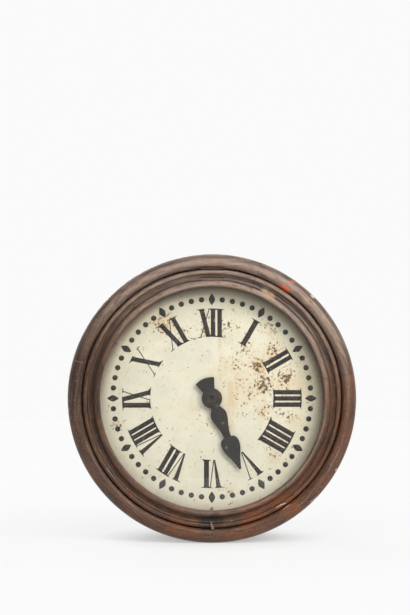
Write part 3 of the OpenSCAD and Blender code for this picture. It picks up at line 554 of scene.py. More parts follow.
# The strewn dents: their number, least and greatest clock angle, radius, z, size and depth, the seeds, and
# how deep dents that meet may go. The case shows them above KNOCKED_Z and within KNOCKED_W of its outer edge,
# and a door above DOOR_KNOCKED_Z
DENTS = 110
DENT_LEAST = (0, 226, 96, 1.2, 0.15)
DENT_MOST = (360, 290, 110, 4.0, 0.5)
CASE_SEED, DOOR_SEED = 11, 37
DEEPEST = 1.2
KNOCKED_Z, KNOCKED_W = 88, 4
DOOR_KNOCKED_Z = 97.5


def dents(a_grid, r_grid, z_grid, seed, spots):
    """Small bruises: each lowers the surface by depth * exp(-(distance / size) ** 2) about its place.

    The fixed spots are (clockwise degrees, radius, z, size, depth) and the rest are strewn by the seed.
    """
    rng = np.random.default_rng(seed)
    x, y = r_grid * np.sin(a_grid), r_grid * np.cos(a_grid)
    depth = np.zeros_like(r_grid)
    strewn = rng.uniform(DENT_LEAST, DENT_MOST, (DENTS, 5))
    for clock, radius, z, size, deep in [*spots, *strewn]:
        t = math.radians(clock)
        gap = (x - radius * math.sin(t)) ** 2 + (y - radius * math.cos(t)) ** 2 + (z_grid - z) ** 2
        depth += deep * np.exp(-gap / size**2)
    return np.minimum(depth, DEEPEST)


def turned(name, side, turn, outline, pocket_half, shape, body):
    """A ring turned from its outline, in rows round the axis.

    shape(a, r, z) moves its points and gives their rub_and_light: wear, painted light and shade. pocket_half
    is half the angle of the hinge pocket.
    """
    even = np.linspace(-math.pi, math.pi, RING_STEPS, endpoint=False)
    sides = pocket_half * np.array([-1, -1, 1, 1]) + COLUMN_STEP * np.array([-1, 1, -1, 1])
    angles = np.sort(np.concatenate([even, sides]))
    a = np.repeat(angles[None], len(outline), 0)
    r = np.repeat(outline[:, :1], len(angles), 1)
    z = np.repeat(outline[:, 1:], len(angles), 1)
    r, z, rub_and_light = shape(a, r, z)
    points = on_face(np.stack([r * np.sin(a), r * np.cos(a), z], -1).reshape(-1, 3), turn)
    faces = closed_grid(*r.shape)
    made = piece(f"{side}_{name}_turned", points, faces, case_wood, body, RING_SMOOTH)
    plank_attributes(made, faces, a, r, z, rub_and_light)
    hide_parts(f"{side}_{name}")


def case_ring(side, turn):
    """The ring of the case: outer fall, crest, inner flank and seats, with a flat hinge pocket at twelve."""
    crest = CASE_R - RING_ROUND
    drum_seat = DRUM_R + DRUM_FIT
    outline = np.concatenate(
        [
            [[drum_seat, RING_BACK_Z]],
            arc((CASE_R - EDGE_ROUND, RING_BACK_Z + EDGE_ROUND), EDGE_ROUND, EDGE_ROUND, -90, 0, 5),
            line((CASE_R, RING_BACK_Z + EDGE_ROUND), (CASE_R, FACE_Z - RING_ROUND), 6),
            arc((crest, FACE_Z - RING_ROUND), RING_ROUND, RING_ROUND, 0, 90, 26)[1:],
            arc((crest, FACE_Z - FLANK_H), crest - RING_IN_R, FLANK_H, 90, 180, 16)[1:],
            line((RING_IN_R, FACE_Z - FLANK_H), (RING_IN_R, POCKET_Z + ROW_STEP), 5),
            [(RING_IN_R, POCKET_Z - ROW_STEP), (RING_IN_R, DOOR_STOP_Z), (DIAL_SEAT_R, DOOR_STOP_Z)],
            [(DIAL_SEAT_R, DIAL_BACK_Z), (LEDGE_R, DIAL_BACK_Z)],
            [(LEDGE_R, DRUM_END_Z), (drum_seat, DRUM_END_Z)],
        ]
    )
    edge = math.asin(POCKET_X / RING_IN_R)
    bruises = [
        (358.0, 262.0, 107.0, 2.2, 0.8), (357.0, 263.0, 108.5, 1.8, 0.7), (359.0, 262.5, 107.5, 1.6, 0.7),
        (44.6, 288.0, 100.0, 3.0, 1.0), (313.8, 288.5, 98.0, 3.0, 0.9), (265.5, 288.5, 98.0, 2.6, 0.8),
        (147.0, 262.0, 104.0, 2.0, 0.6), (95.0, 289.0, 92.0, 3.4, 0.8), (211.0, 288.0, 99.0, 2.6, 0.7),
    ]

    def shape(a, r, z):
        in_pocket = (np.abs(a) < edge) & (z > POCKET_Z) & (r * np.cos(a) < RING_POCKET_Y)
        r = np.where(in_pocket, RING_POCKET_Y / np.cos(a), r)
        knocked = (z > KNOCKED_Z) | (r > CASE_R - KNOCKED_W)
        sunk = dents(a, r, z, CASE_SEED + turn, bruises) * knocked
        out = np.stack([r - crest, z - DOOR_STOP_Z], -1)
        out /= np.linalg.norm(out, axis=-1, keepdims=True)
        r, z = r - out[..., 0] * sunk, z - out[..., 1] * sunk
        # Paler by wear and painted light, darker by soiling and painted shade, band by band round the ring
        rub_and_light = sum(rubbed_and_lit(band, a, r, z) for band in ("crest", "flank", "fall"))
        rub_and_light += EDGE_RUB * ridge(r, CASE_R, EDGE_RUB_W) * (z > EDGE_RUB_Z)
        # The groove made pale by dusty grey and by painted light that lifts its shade
        dust_and_light = GROOVE_DUST_AND_LIGHT * np.clip((PALE_GROOVE_Z - z) / PALE_GROOVE_EASE, 0, 1) * (r < RING_IN_R + PALE_GROOVE_ON_CASE)
        return r, z, rub_and_light + dust_and_light

    turned("case_ring", side, turn, outline, edge, shape, "case")


def door_ring(side, turn):
    """The ring of the door: bead, cove, quirk and convex lip in front, the glass seat behind.

    Between rows that follow the straight edges of the strap's slot, the surface drops to the slot's floor.
    """
    bead_mid = DOOR_R - BEAD_R
    cove_out = DOOR_R - 2 * BEAD_R
    lip_out = cove_out - COVE_W - QUIRK_W
    bead_low = BEAD_Z - 1
    above_floor = STRAP_FLOOR_Z + 1
    low, high = STRAP_SLOT
    outline = np.concatenate(
        [
            [[DOOR_R, DOOR_BACK_Z], [DOOR_R, POCKET_Z - ROW_STEP], [DOOR_R, POCKET_Z + ROW_STEP]],
            arc((bead_mid, BEAD_Z), BEAD_R, BEAD_R, 0, 180, 19),
            arc((cove_out - COVE_W / 2, BEAD_Z), COVE_W / 2, COVE_H, 0, -180, 25)[1:],
            [[lip_out, BEAD_Z]],
            arc((SIGHT_R + NOSE_R, FACE_Z - LIP_H), lip_out - SIGHT_R - NOSE_R, LIP_H, 0, 90, 16),
            arc((SIGHT_R + NOSE_R, FACE_Z - NOSE_R), NOSE_R, NOSE_R, 110, 180, 8),
            line((SIGHT_R, FACE_Z - NOSE_R), (SIGHT_R, GLASS_SEAT_Z), 4),
            [(GLASS_SEAT_R, GLASS_SEAT_Z), (GLASS_SEAT_R, DOOR_BACK_Z)],
        ]
    )
    for radius in (low - SLOT_STEP, low + SLOT_STEP, high - SLOT_STEP, high + SLOT_STEP):
        front = np.where((outline[:, 1] > STRAP_FLOOR_Z) & (outline[:, 0] < cove_out + ROW_STEP))[0]
        after = front[outline[front, 0] <= radius][0]
        before = outline[after - 1]
        share = (before[0] - radius) / (before[0] - outline[after, 0])
        outline = np.insert(outline, after, before + share * (outline[after] - before), 0)
    top = outline[(outline[:, 1] > above_floor) & (outline[:, 0] < cove_out + ROW_STEP)]
    top = top[np.argsort(top[:, 0], kind="stable")]
    edge = math.asin(POCKET_X / low)
    bruises = [
        (150.0, 254.0, 107.4, 2.0, 0.6), (90.0, 230.0, 109.5, 2.4, 0.5), (186.0, 254.0, 107.5, 3.0, 0.7),
    ]

    def shape(a, r, z):
        in_pocket = np.abs(a) < edge
        front = (z > above_floor) & (r < cove_out)
        reach = np.interp(r, [SLOT_EASE_R, low, high, cove_out - SLOT_EASE_END], [0, 1, 1, 0])
        moved = r + (1 / np.cos(a) - 1) * r * reach
        between = (r > low) & (r < high)
        fitted = np.where(between, STRAP_FLOOR_Z, np.interp(moved, top[:, 0], top[:, 1]))
        z = np.where(in_pocket & front & (reach > 0), fitted, z)
        r = np.where(in_pocket & front, moved, r)
        flat = in_pocket & (z > POCKET_Z) & (r * np.cos(a) > DOOR_POCKET_Y)
        r = np.where(flat, DOOR_POCKET_Y / np.cos(a), r)
        z = z - dents(a, r, z, DOOR_SEED + turn, bruises) * ((z > DOOR_KNOCKED_Z) & ~in_pocket)
        # The lip and bead paled by wear and painted light, less on the bead's outer side; the cove and quirk
        # darker
        rub_and_light = rubbed_and_lit("lip", a, r, z) + rubbed_and_lit("bead", a, r, z)
        bead_side = np.clip((r - BEAD_SIDE_R) / BEAD_SIDE_EASE, 0, 1) * (z > bead_low)
        rub_and_light -= BEAD_SIDE * np.maximum(handled_and_lit("bead", a), 0) * bead_side
        in_cove = (z > COVE_LEAST_Z) * (z < BEAD_Z - COVE_TOP) * (r > lip_out) * (r < cove_out - COVE_SIDE)
        in_quirk = QUIRK_DARK * ridge(r, QUIRK_R, QUIRK_DIRT_W) * (z < QUIRK_MOST_Z)
        rub_and_light += handled_and_lit("cove", a) * (in_quirk + in_cove)
        # The groove made pale by dusty grey and by painted light that lifts its shade
        rub_and_light += GROOVE_DUST_AND_LIGHT * (r > DOOR_R - PALE_GROOVE_ON_DOOR) * (z < bead_low)
        # Dark on both sides of the strap's slot: painted shadow of its gaps
        beside = (moved > low - SLOT_SHADE_IN) & (moved < high + SLOT_SHADE_OUT)
        return r, z, np.where(beside & in_pocket & front, -1.0, rub_and_light)

    turned("door_ring", side, turn, outline, edge, shape, f"{side}_door")


for side, turn in SIDES:
    case_ring(side, turn)
    door_ring(side, turn)


# Painted marks of the dials

# The circles a numeral stands between, its unit of width, thin strokes and pointed feet, a serif's thickness
# at its ends and what the middle adds, and the far and near side and the overhang of a bracket, in mm
NUMERAL_OUT_R = 181.8
NUMERAL_IN_R = 124.5
UNIT = 2.024
THIN_W = 2.0
FOOT_W = 1.3 * UNIT
SERIF_END, SERIF_SWELL = 1.0, 0.9
BRACKET_FAR, BRACKET_NEAR, BRACKET_OVER = 4.2, 1.2, 2.2

# The circle of the minute marks, the radius of a dot, and a lozenge's half width, half height and blunt tip
MARK_R = 200.2
DOT_R = 5.5
LOZENGE_W, LOZENGE_H, LOZENGE_TIP = 6.3, 11.7, 0.35

# Height in mm above the dial at which a film of paint starts and ends
FILM_LOW, FILM_HIGH = 0.005, 0.08

# For each hour, in units to the right of its upright axis: thick strokes (outer place, inner place, width),
# thin strokes (outer, inner), outer serifs and inner serifs (from, to)
NUMERALS = {
    12: ([(-10.4, -3.4, 4.6), (1.2, 1.2, 4.5), (7.75, 7.75, 4.5)], [(-2.6, -11.2)],
         [(-15.3, -7.0), (-4.3, 12.2)], [(-14.0, -9.6), (-5.6, 11.9)]),
    1: ([(0, 0, 5.1)], [], [(-5.2, 4.9)], [(-4.9, 4.7)]),
    2: ([(-2.9, -2.9, 4.4), (3.5, 3.5, 4.4)], [], [(-7.8, 7.8)], [(-7.2, 7.2)]),
    3: ([(-6.1, -6.1, 4.4), (0.1, 0.1, 4.4), (6.3, 6.3, 4.5)], [], [(-10.7, 10.9)], [(-10.2, 10.8)]),
    4: ([(-8.9, -8.9, 4.8), (-2.7, -2.7, 4.8), (3.6, 3.6, 4.8), (9.8, 9.8, 4.8)], [],
        [(-13.8, 14.0)], [(-13.4, 13.6)]),
    5: ([(-4.4, 0.6, 5.0)], [(6.9, 1.5)], [(-8.2, -0.2), (4.5, 9.5)], []),
    6: ([(-6.9, -2.6, 4.8), (5.4, 5.4, 5.0)], [(1.7, -1.9)], [(-12.0, -3.2), (-0.6, 10.6)], [(0.9, 10.0)]),
    7: ([(-9.4, -4.2, 4.8), (2.8, 2.8, 4.4), (9.1, 9.1, 4.4)], [(-0.6, -3.5)],
        [(-14.4, -5.8), (-2.8, 13.6)], [(-1.6, 13.2)]),
    8: ([(-12.0, -6.6, 4.7), (-0.4, -0.4, 4.4), (5.3, 5.3, 4.4), (11.0, 11.0, 4.4)], [(-3.7, -5.9)],
        [(-16.8, -8.6), (-5.9, 15.2)], [(-4.2, 14.6)]),
    9: ([(-6.9, -6.9, 4.9), (-1.2, 6.2, 4.8)], [(7.2, -1.8)], [(-12.2, 1.6), (5.0, 9.9)],
        [(-11.0, -0.2), (2.6, 11.2)]),
    10: ([(-6.0, 3.5, 4.8)], [(6.1, -8.3)], [(-11.0, -2.8), (4.1, 8.7)], [(-10.6, -6.0), (0.2, 8.5)]),
    11: ([(-7.6, -0.7, 4.7), (6.1, 6.1, 4.5)], [(2.7, -9.9)], [(-12.8, -4.6), (1.0, 10.8)],
         [(-12.2, -7.6), (-3.8, 10.4)]),
}


def arc_y(u, radius):
    """Height of a circle about the dial's centre at a distance u from the numeral's axis."""
    return np.sqrt(radius**2 - np.asarray(u, float) ** 2)


def stroke(outer, inner, wide_out, wide_in):
    """A bar between the two circles with its four corners on them."""
    left, right = outer - wide_out / 2, outer + wide_out / 2
    foot_l, foot_r = inner - wide_in / 2, inner + wide_in / 2
    feet = [(foot_l, arc_y(foot_l, NUMERAL_IN_R)), (foot_r, arc_y(foot_r, NUMERAL_IN_R))]
    return np.array([*feet, (right, arc_y(right, NUMERAL_OUT_R)), (left, arc_y(left, NUMERAL_OUT_R))])


def serif(start, stop, radius, inward):
    """A hairline along a circle, thickest in the middle and thinner at its ends."""
    u = np.linspace(start, stop, 9)
    y = arc_y(u, radius)
    edge = y - inward * (SERIF_END + SERIF_SWELL * (1 - np.linspace(-1, 1, 9) ** 4))
    return np.stack([np.concatenate([u, u[::-1]]), np.concatenate([y, edge[::-1]])], 1)


def bracket(place, width, radius, inward):
    """A small gusset where a stroke meets its serif."""
    low, high = place - width / 2, place + width / 2
    y = arc_y(place, radius)
    far, close = y - inward * BRACKET_FAR, y - inward * BRACKET_NEAR
    return np.array([(low - BRACKET_OVER, close), (low, far), (high, far), (high + BRACKET_OVER, close)])


def turned_to(outline, clock_deg):
    """An outline drawn upright at twelve, turned clockwise to its place."""
    t = math.radians(clock_deg)
    return outline @ np.array([[math.cos(t), -math.sin(t)], [math.sin(t), math.cos(t)]])


def numeral_outlines(hour):
    """The strokes of one numeral, as the dial is seen."""
    thick, thin, outer, inner = ([[v * UNIT for v in row] for row in rows] for rows in NUMERALS[hour])
    parts = []
    for k, (top, foot, width) in enumerate(thick):
        pointed = hour in (5, 6, 7, 8) and k == 0
        parts.append(stroke(top, foot, width, FOOT_W if pointed else width))
        parts.append(bracket(top, width, NUMERAL_OUT_R, 1))
        if not pointed:
            parts.append(bracket(foot, width, NUMERAL_IN_R, -1))
    parts += [stroke(top, foot, THIN_W, THIN_W) for top, foot in thin]
    parts += [serif(start, stop, NUMERAL_OUT_R, 1) for start, stop in outer]
    parts += [serif(start, stop, NUMERAL_IN_R, -1) for start, stop in inner]
    return [turned_to(part, 30 * hour) for part in parts]


def mark(minute):
    """A dot, or on the hours a lozenge: half width tip + w (1 - |s| ** 1.45), s from -1 at its foot to 1."""
    if minute % 5:
        a = np.linspace(0, 2 * math.pi, 28, endpoint=False)
        upright = np.stack([DOT_R * np.cos(a), MARK_R + DOT_R * np.sin(a)], 1)
    else:
        s = np.linspace(-1, 1, 17)
        half = LOZENGE_W * (1 - np.abs(s) ** 1.45) + LOZENGE_TIP
        y = MARK_R + LOZENGE_H * np.concatenate([s, s[::-1]])
        upright = np.stack([np.concatenate([half, -half[::-1]]), y], 1)
    return turned_to(upright, 6 * minute)


def paint_film(name, outlines, turn, material):
    """One closed film over the union of flat outlines: its face, its underside and the walls of its edge.

    All outlines are made to run anticlockwise, and only triangles that lie in one of them are kept, so that
    the gaps between strokes stay open.
    """
    points, loops = [], []
    for outline in outlines:
        x, y = outline.T
        if np.sum(x * np.roll(y, -1) - y * np.roll(x, -1)) < 0:
            outline = outline[::-1]
        loops.append(list(range(len(points), len(points) + len(outline))))
        points += [Vector(p) for p in outline]
    found = delaunay_2d_cdt(points, [], loops, 1, 1e-4)
    flat = np.array([tuple(p) for p in found[0]])
    tris = np.array([face for face, source in zip(found[2], found[5]) if source])
    corner = flat[tris]
    doubled = np.cross(corner[:, 1] - corner[:, 0], corner[:, 2] - corner[:, 0])
    tris = np.where(doubled[:, None] < 0, tris[:, ::-1], tris)
    edges = np.concatenate([tris[:, [0, 1]], tris[:, [1, 2]], tris[:, [2, 0]]])
    _, first, count = np.unique(np.sort(edges, 1), axis=0, return_index=True, return_counts=True)
    start, end = edges[first[count == 1]].T
    n = len(flat)
    low = np.column_stack([flat, np.full(n, DIAL_Z + FILM_LOW)])
    high = np.column_stack([flat, np.full(n, DIAL_Z + FILM_HIGH)])
    walls = [np.column_stack([start, end, end + n]), np.column_stack([start, end + n, start + n])]
    faces = np.concatenate([tris[:, ::-1], tris + n, *walls])
    piece(name, on_face(np.concatenate([low, high]), turn), faces, material, "case")


def mark_enamel():
    """Black dial enamel: matt, slightly uneven, with a few pin chips down to the ground colour."""
    made, tree, place, _, tone = clouded("black dial enamel", 17, 0.3, 0.75, "#1c1613", "#2f2722")
    tone = coats(tree, tone, [
        (patches(tree, place, 3, 0.66, 0.71, 0.8, 3), "#b3a78d"),
        (near(tree, place, spot_at(7, 158), 5.0, 0.6), "#b4b2ae"),
    ])
    return dress(made, tone, 0.6, specular=0.12)


# Rust foxing of the front dial and weaker foxing of the rear one: x, y, radius and density
FOXING = (
    (127, 97, 34, 0.95), (95, 64, 34, 0.95), (104, 27, 38, 1.1), (148, 40, 34, 1.1), (78, 6, 30, 0.6),
    (108, -24, 26, 0.8), (156, -36, 28, 0.7), (118, 30, 125, 0.5), (134, -82, 40, 0.4), (77, 103, 30, 0.6),
    (117, 138, 32, 0.6), (60, -15, 60, 0.4), (45, 70, 45, 0.45), (30, 140, 40, 0.6), (-8, 150, 40, 0.6),
    (-100, 148, 46, 0.75), (-52, 128, 30, 0.5), (-192, -54, 26, 0.6), (128, -112, 36, 0.45),
    (30, -185, 30, 0.5),
)
REAR_FOXING = ((-120, -90, 90, 0.5), (60, 150, 80, 0.4))
# Tan runs below the foxing: x and y of both ends and width
RUNS = ((16, 113, 16, 41, 9), (38, 30, 38, -64, 16), (52, 47, 52, 0, 12))
# The axis and the angle in radians by which the flecks' noise is turned, since its lattice shows when upright
SLANT_AXIS, SLANT = (0.48, 0.6, 0.64), 0.8


def dial_ground():
    """Aged cream oil paint on sheet metal: yellowed, foxed by flecks of rust, with tan runs, a rim soiled and
    darkened by painted shade.
    """
    creams = "#dcd6c6", "#e6dfce", "#dfd3ba"
    made, tree, place, _, tone = clouded("aged cream dial enamel", 140, 0.3, 0.75, *creams)
    density = 0.0
    for (_, turn), spots in zip(SIDES, (FOXING, REAR_FOXING)):
        for x, y, radius, amount in spots:
            spot = near(tree, place, spot_at(x, y, turn=turn), radius, amount, 0.1)
            density = add(tree, "Math", {0: density, 1: spot}, operation="MAXIMUM")
    stained = add(tree, "MapRange", {"Value": density, "From Min": 0.1, "From Max": 1.0, "To Max": 0.75})
    slant = add(tree, "VectorRotate", {"Vector": place, "Axis": SLANT_AXIS, "Angle": SLANT})
    flecks = add(tree, "TexNoise", {"Vector": slant, "Scale": 0.19, "Detail": 3.0, "Roughness": 0.6})
    gather = add(tree, "TexNoise", {"Vector": slant, "Scale": 0.05, "Detail": 2.0, "Roughness": 0.5})
    level = add(tree, "Math", {0: density, 1: 0.2, 2: flecks}, operation="MULTIPLY_ADD")
    level = add(tree, "Math", {0: gather, 1: 0.3, 2: level}, operation="MULTIPLY_ADD")
    # Yellowed and darker towards the rim, most at the top: painted shade of the door's lip on the dial, with
    # soiling at the rim
    from_axis = add(tree, "VectorMath", {0: place, 1: (1.0, 0.0, 1.0)}, operation="MULTIPLY")
    from_axis = add(tree, "VectorMath", {0: from_axis}, "Value", operation="LENGTH")
    upper = add(tree, "VectorMath", {0: place, 1: (0.25, 0.0, 0.95)}, "Value", operation="DOT_PRODUCT")
    limits = {"Value": upper, "From Min": -120.0, "From Max": 90.0, "To Min": 0.22, "To Max": 0.95}
    upper = add(tree, "MapRange", limits)
    film = add(tree, "MapRange", {"Value": from_axis, "From Min": 160.0, "From Max": 224.0, "To Max": upper})
    film = add(tree, "Math", {0: film, 1: 0.5}, operation="MULTIPLY")
    rim_shade_and_grime = add(tree, "MapRange", {"Value": from_axis, "From Min": 208.0, "From Max": 224.0, "To Max": upper})
    halo = add(tree, "MapRange", {"Value": level, "From Min": 0.785, "From Max": 0.85, "To Max": 0.6})
    core = add(tree, "MapRange", {"Value": level, "From Min": 0.845, "From Max": 0.875, "To Max": 0.95})
    tone = coats(tree, tone, [
        (patches(tree, place, 12, 0.4, 0.8, 0.3), "#cfc3a4"),
        (patches(tree, place, 30, 0.4, 0.62, stained, 5), "#dcbd8c"),
        (patches(tree, place, (9, 40, 90), 0.5, 0.7, stained, 3), "#d3a878"),
        (halo, "#b08b5e"),
        (core, "#553e2b"),
        (film, "#ab9c72"),
        (rim_shade_and_grime, "#62462c"),
    ])
    for x0, y0, x1, y1, width in RUNS:
        run = stripe(tree, place, spot_at(x0, y0), spot_at(x1, y1), width, 0.45)
        tone = coats(tree, tone, [(patches(tree, place, (12, 12, 40), 0.3, 0.6, run), "#d9b484")])
    limits = {"Value": level, "From Min": 0.7, "From Max": 0.95, "To Min": 0.5, "To Max": 0.85}
    rough = add(tree, "MapRange", limits)
    return dress(made, tone, rough, (level, 0.25, 0.3), 0.35)


dial_paint = dial_ground()
mark_paint = mark_enamel()
for side, turn in SIDES:
    numerals = [outline for hour in NUMERALS for outline in numeral_outlines(hour)]
    paint_film(f"{side}_numerals", numerals, turn, mark_paint)
    paint_film(f"{side}_minute_marks", [mark(m) for m in range(60)], turn, mark_paint)


# Finishes of the pieces that keep their own solids

# Grey and rusty spots of the front hour hand, the grey one at (11, -14) a painted highlight: x, y, size,
# colour and share
HAND_SPOTS = (
    (29, -99, 4.0, "#8d8984", 0.7), (22, -50, 4.5, "#7d7771", 0.6), (19, 4, 9.0, "#5f3d28", 0.8),
    (13, 15, 7.0, "#54392a", 0.6), (11, -14, 6.0, "#6d655e", 0.5),
)
# Painted shade on the metal before the dial, that darkens the pipe's bore and what stands in it: where it
# sets in, over what depth and its colour, and the z, both ends and the width of the painted glint across it
END_SHADE_Z, END_SHADE_EASE, END_SHADE = 62.0, 5.0, "#231c17"
GLINT_Z, GLINT_ENDS, GLINT_W = HAND_Z + 1, ((-6, -5.4), (8.5, 1.2)), 3.0
# The heights in mm between which the strap iron darkens towards the groove, as painted shade on the knuckles
GROOVE_FROM, GROOVE_TO = 246.0, 252.0

BRASS = ("#b5924f", "#8a6a35")
STEEL = ("#a3a19c", "#6f6c69")


def hand_enamel():
    """Black enamel on sheet steel: satin, grey in places, one of them a painted highlight, with pale chips
    and rust at the hub.
    """
    name = "black hand enamel on steel"
    made, tree, place, cloud, tone = clouded(name, 25, 0.3, 0.75, "#1a1716", "#2b2725")
    tone = coats(tree, tone, [(patches(tree, place, 3.3, 0.66, 0.74, 0.5, 3), "#6f675f")])
    for x, y, size, shade, most in HAND_SPOTS:
        mask = near(tree, place, spot_at(x, y, HAND_Z), size, most)
        tone = coats(tree, tone, [(patches(tree, place, 3, 0.36, 0.5, mask, 3), shade)])
    rough = add(tree, "MapRange", {"Value": cloud, "To Min": 0.5, "To Max": 0.7})
    return dress(made, tone, rough, (patches(tree, place, 3.3, 0.2, 0.8), 0.2, 0.2), 0.15)


def metal(name, pale, dark, roughness, cloud_mm, lines_mm, rust=None, shade_darkened=None):
    """Bare metal with a drawn or filed grain: bright where it is clean, duller in clouds of tarnish.

    The grain is drawn at 1 mm or more, because a real file's is too fine to show. Rust is a colour that eats
    in patches, and shade_darkened the colour of the end before the dial, painted shade with a painted glint
    across it.
    """
    made, tree, place, cloud, tone = clouded(name, cloud_mm, 0.3, 0.7, dark, pale)
    if rust:
        tone = coats(tree, tone, [(patches(tree, place, 8, 0.54, 0.68, 0.85, 5, 0.7), rust)])
    bare = 1.0
    if shade_darkened:
        # The end before the dial darkened as painted shade of the pipe's bore
        depth = add(tree, "Math", {0: add(tree, "SeparateXYZ", {0: place}, "Y")}, operation="ABSOLUTE")
        limits = {"Value": depth, "From Min": END_SHADE_Z, "From Max": END_SHADE_Z + END_SHADE_EASE, "To Max": 0.88}
        end = add(tree, "MapRange", limits)
        # A brass streak across the darkened end: a painted glint
        start, stop = (spot_at(*spot, GLINT_Z) for spot in GLINT_ENDS)
        worn_and_lit = stripe(tree, place, start, stop, GLINT_W, 0.8)
        tone = coats(tree, tone, [(end, shade_darkened), (worn_and_lit, "#7d6444")])
        bare = add(tree, "MapRange", {"Value": end, "To Min": 1.0, "To Max": 0.0})
    rough = add(tree, "MapRange", {"Value": cloud, "To Min": roughness + 0.2, "To Max": roughness})
    lines = patches(tree, place, lines_mm, 0.2, 0.8, detail=2)
    return dress(made, tone, rough, (lines, 0.15, 0.1), metallic=bare)


def painted_iron():
    """Cast iron under old black paint: a sandy skin of 1.5 mm grains, brown where the paint has gone."""
    made, tree, place = surface("black painted cast iron")
    cloud = patches(tree, place, 18, 0.3, 0.8, detail=5)
    stops = [(0.1, "#35312f"), (0.6, "#4a4542"), (0.9, "#6b4a35")]
    tone = add(tree, "ValToRGB", {0: cloud}, stops=stops)
    return dress(made, tone, 0.6, (patches(tree, place, 1.5, 0.2, 0.8), 0.4, 0.3))


def strap_iron():
    """Strap iron varnished over with the case: brown like the wood, with painted shade darkening the knuckles
    in the groove.
    """
    name = "varnished strap iron"
    made, tree, place, cloud, tone = clouded(name, (11, 2, 2), 0.3, 0.7, "#655447", "#83705f")
    height = add(tree, "Math", {0: add(tree, "SeparateXYZ", {0: place}, "Z")}, operation="ABSOLUTE")
    limits = {"Value": height, "From Min": GROOVE_FROM, "From Max": GROOVE_TO, "To Max": 0.95}
    tone = coats(tree, tone, [(add(tree, "MapRange", limits), "#403126")])
    return dress(made, tone, 0.7, (cloud, 0.3, 0.2), 0.2)


def pale_brass():
    """The catch: brass polished bright by fingers, dull in its corners."""
    made, *_, tone = clouded("rubbed brass catch", 3, 0.3, 0.7, "#7d6858", "#b8a08b")
    return dress(made, tone, 0.45, metallic=1.0)


def plain_wood(name, pale, dark, grain_mm, pore_mm):
    """Sawn and planed beech under thin stain: straight grain, open pores and a dry matt face."""
    made, tree, place, grain, tone = clouded(name, grain_mm, 0.3, 0.7, dark, pale, detail=5)
    pores = patches(tree, place, pore_mm, 0.55, 0.75, 0.45, 2)
    rough = add(tree, "MapRange", {"Value": grain, "To Min": 0.75, "To Max": 0.55})
    return dress(made, coats(tree, tone, [(pores, "#2b1c14")]), rough, (pores, 0.3, 0.4))


def pane():
    """Old drawn window glass: clear with a faint green tint and slow waves. Lamps reach what is behind it."""
    made, tree, place = surface("old drawn window glass")
    tint = colour("#fbfcfa")
    feed(tree.nodes["Principled BSDF"], {"Transmission Weight": 1.0, "IOR": 1.52})
    waves = patches(tree, place, 90, 0.2, 0.8, detail=1)
    clear = add(tree, "BsdfTransparent", {"Color": tint})
    return dress(made, tint, 0.0, (waves, 0.05, 0.4), instead=(rays(tree, "Shadow", "Diffuse"), clear))


def winding():
    """Cotton-covered copper wire on a bobbin, waxed brown, its turns drawn 2.5 mm apart so that they show."""
    made, tree, place = surface("waxed cotton coil winding")
    bands = {"Vector": place, "Scale": 0.126, "Distortion": 0.6}
    turns = add(tree, "TexWave", bands, "Fac", wave_type="BANDS", bands_direction="Z")
    tone = add(tree, "ValToRGB", {0: turns}, stops=[(0.1, "#4a2c18"), (0.8, "#8a5632")])
    return dress(made, tone, 0.55, (turns, 0.5, 0.3))


def braid():
    """Braided cotton over rubber: a dark lead with pale flecks, 1.4 mm from stitch to stitch."""
    made, tree, place = surface("braided cotton lead")
    weave = add(tree, "TexVoronoi", {"Vector": place, "Scale": 0.7}, "Distance")
    tone = add(tree, "ValToRGB", {0: weave}, stops=[(0.1, "#6b5138"), (0.6, "#2a1f18")])
    return dress(made, tone, 0.85, (weave, 0.5, 0.3))


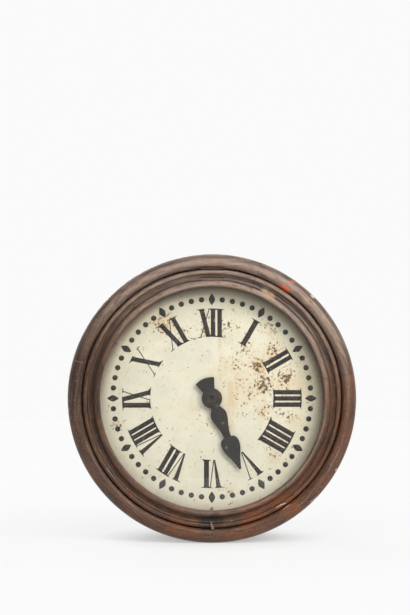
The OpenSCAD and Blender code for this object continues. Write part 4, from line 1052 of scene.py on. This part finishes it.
def ebonite():
    """Moulded hard rubber: near black, gone brown and dull on top."""
    codes = "#1d1917", "#3a2d22"
    made, tree, _, cloud, tone = clouded("moulded ebonite", 12, 0.3, 0.75, *codes, detail=3)
    return dress(made, tone, add(tree, "MapRange", {"Value": cloud, "To Min": 0.35, "To Max": 0.6}))


brass = metal("tarnished clock brass", *BRASS, 0.28, 20, (1, 1, 20))
pipe_brass = metal("brass pipe with a sooty end", *BRASS, 0.3, 20, (1, 20, 1), shade_darkened=END_SHADE)
steel = metal("filed tool steel", *STEEL, 0.3, 17, (20, 1, 1), rust="#6a4a34")
screw_steel = metal("dulled screw steel", "#93887d", "#665a50", 0.5, 6, (6, 1, 1), rust="#5c4535")
arbor_steel = metal("turned steel with a sooty end", *STEEL, 0.3, 17, (1, 20, 1), shade_darkened=END_SHADE)
iron = painted_iron()
strap = strap_iron()
hand_paint = hand_enamel()
drum_wood = plain_wood("stained beech drum", "#5f4232", "#3d2a20", (6, 70, 6), (1.1, 17, 1.1))
board_wood = plain_wood("planed beech board", "#8f6c4a", "#6a4c33", (70, 6, 6), (17, 1.1, 1.1))
bead_wood = plain_wood("stained glazing bead", "#5c4030", "#3c291f", (20, 6, 20), (5, 1.1, 5))

FINISHES = {
    "drum": drum_wood, "movement_board": board_wood, "movement_screws": steel, "suspension_saddle": drum_wood,
    "suspension_flange": iron, "suspension_plate": iron, "suspension_bolts": steel,
    "rear_minute_hand": hand_paint, "rear_hand_nut": brass,
}
FACE_FINISHES = {
    "glass": pane(), "glazing_ring": bead_wood, "hinge_leaf": strap, "hinge_strap": strap,
    "catch": pale_brass(), "dial": dial_paint, "dial_screws": screw_steel, "hour_hand": hand_paint,
    "back_plate": brass, "front_plate": brass, "pillars": brass, "minute_arbor": arbor_steel,
    "ratchet_wheel": brass, "motion_wheel": brass, "hour_wheel": pipe_brass, "hour_bridge": pipe_brass,
    "magnet_yoke": iron, "coils": winding(), "armature": steel, "drive_pawl": steel, "click": steel,
    "terminals": ebonite(), "lead": braid(),
}
for side, _ in SIDES:
    FINISHES.update({f"{side}_{node}": finish for node, finish in FACE_FINISHES.items()})
for name, finish in FINISHES.items():
    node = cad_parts[name]
    node.data.materials.clear()
    node.data.materials.append(finish)
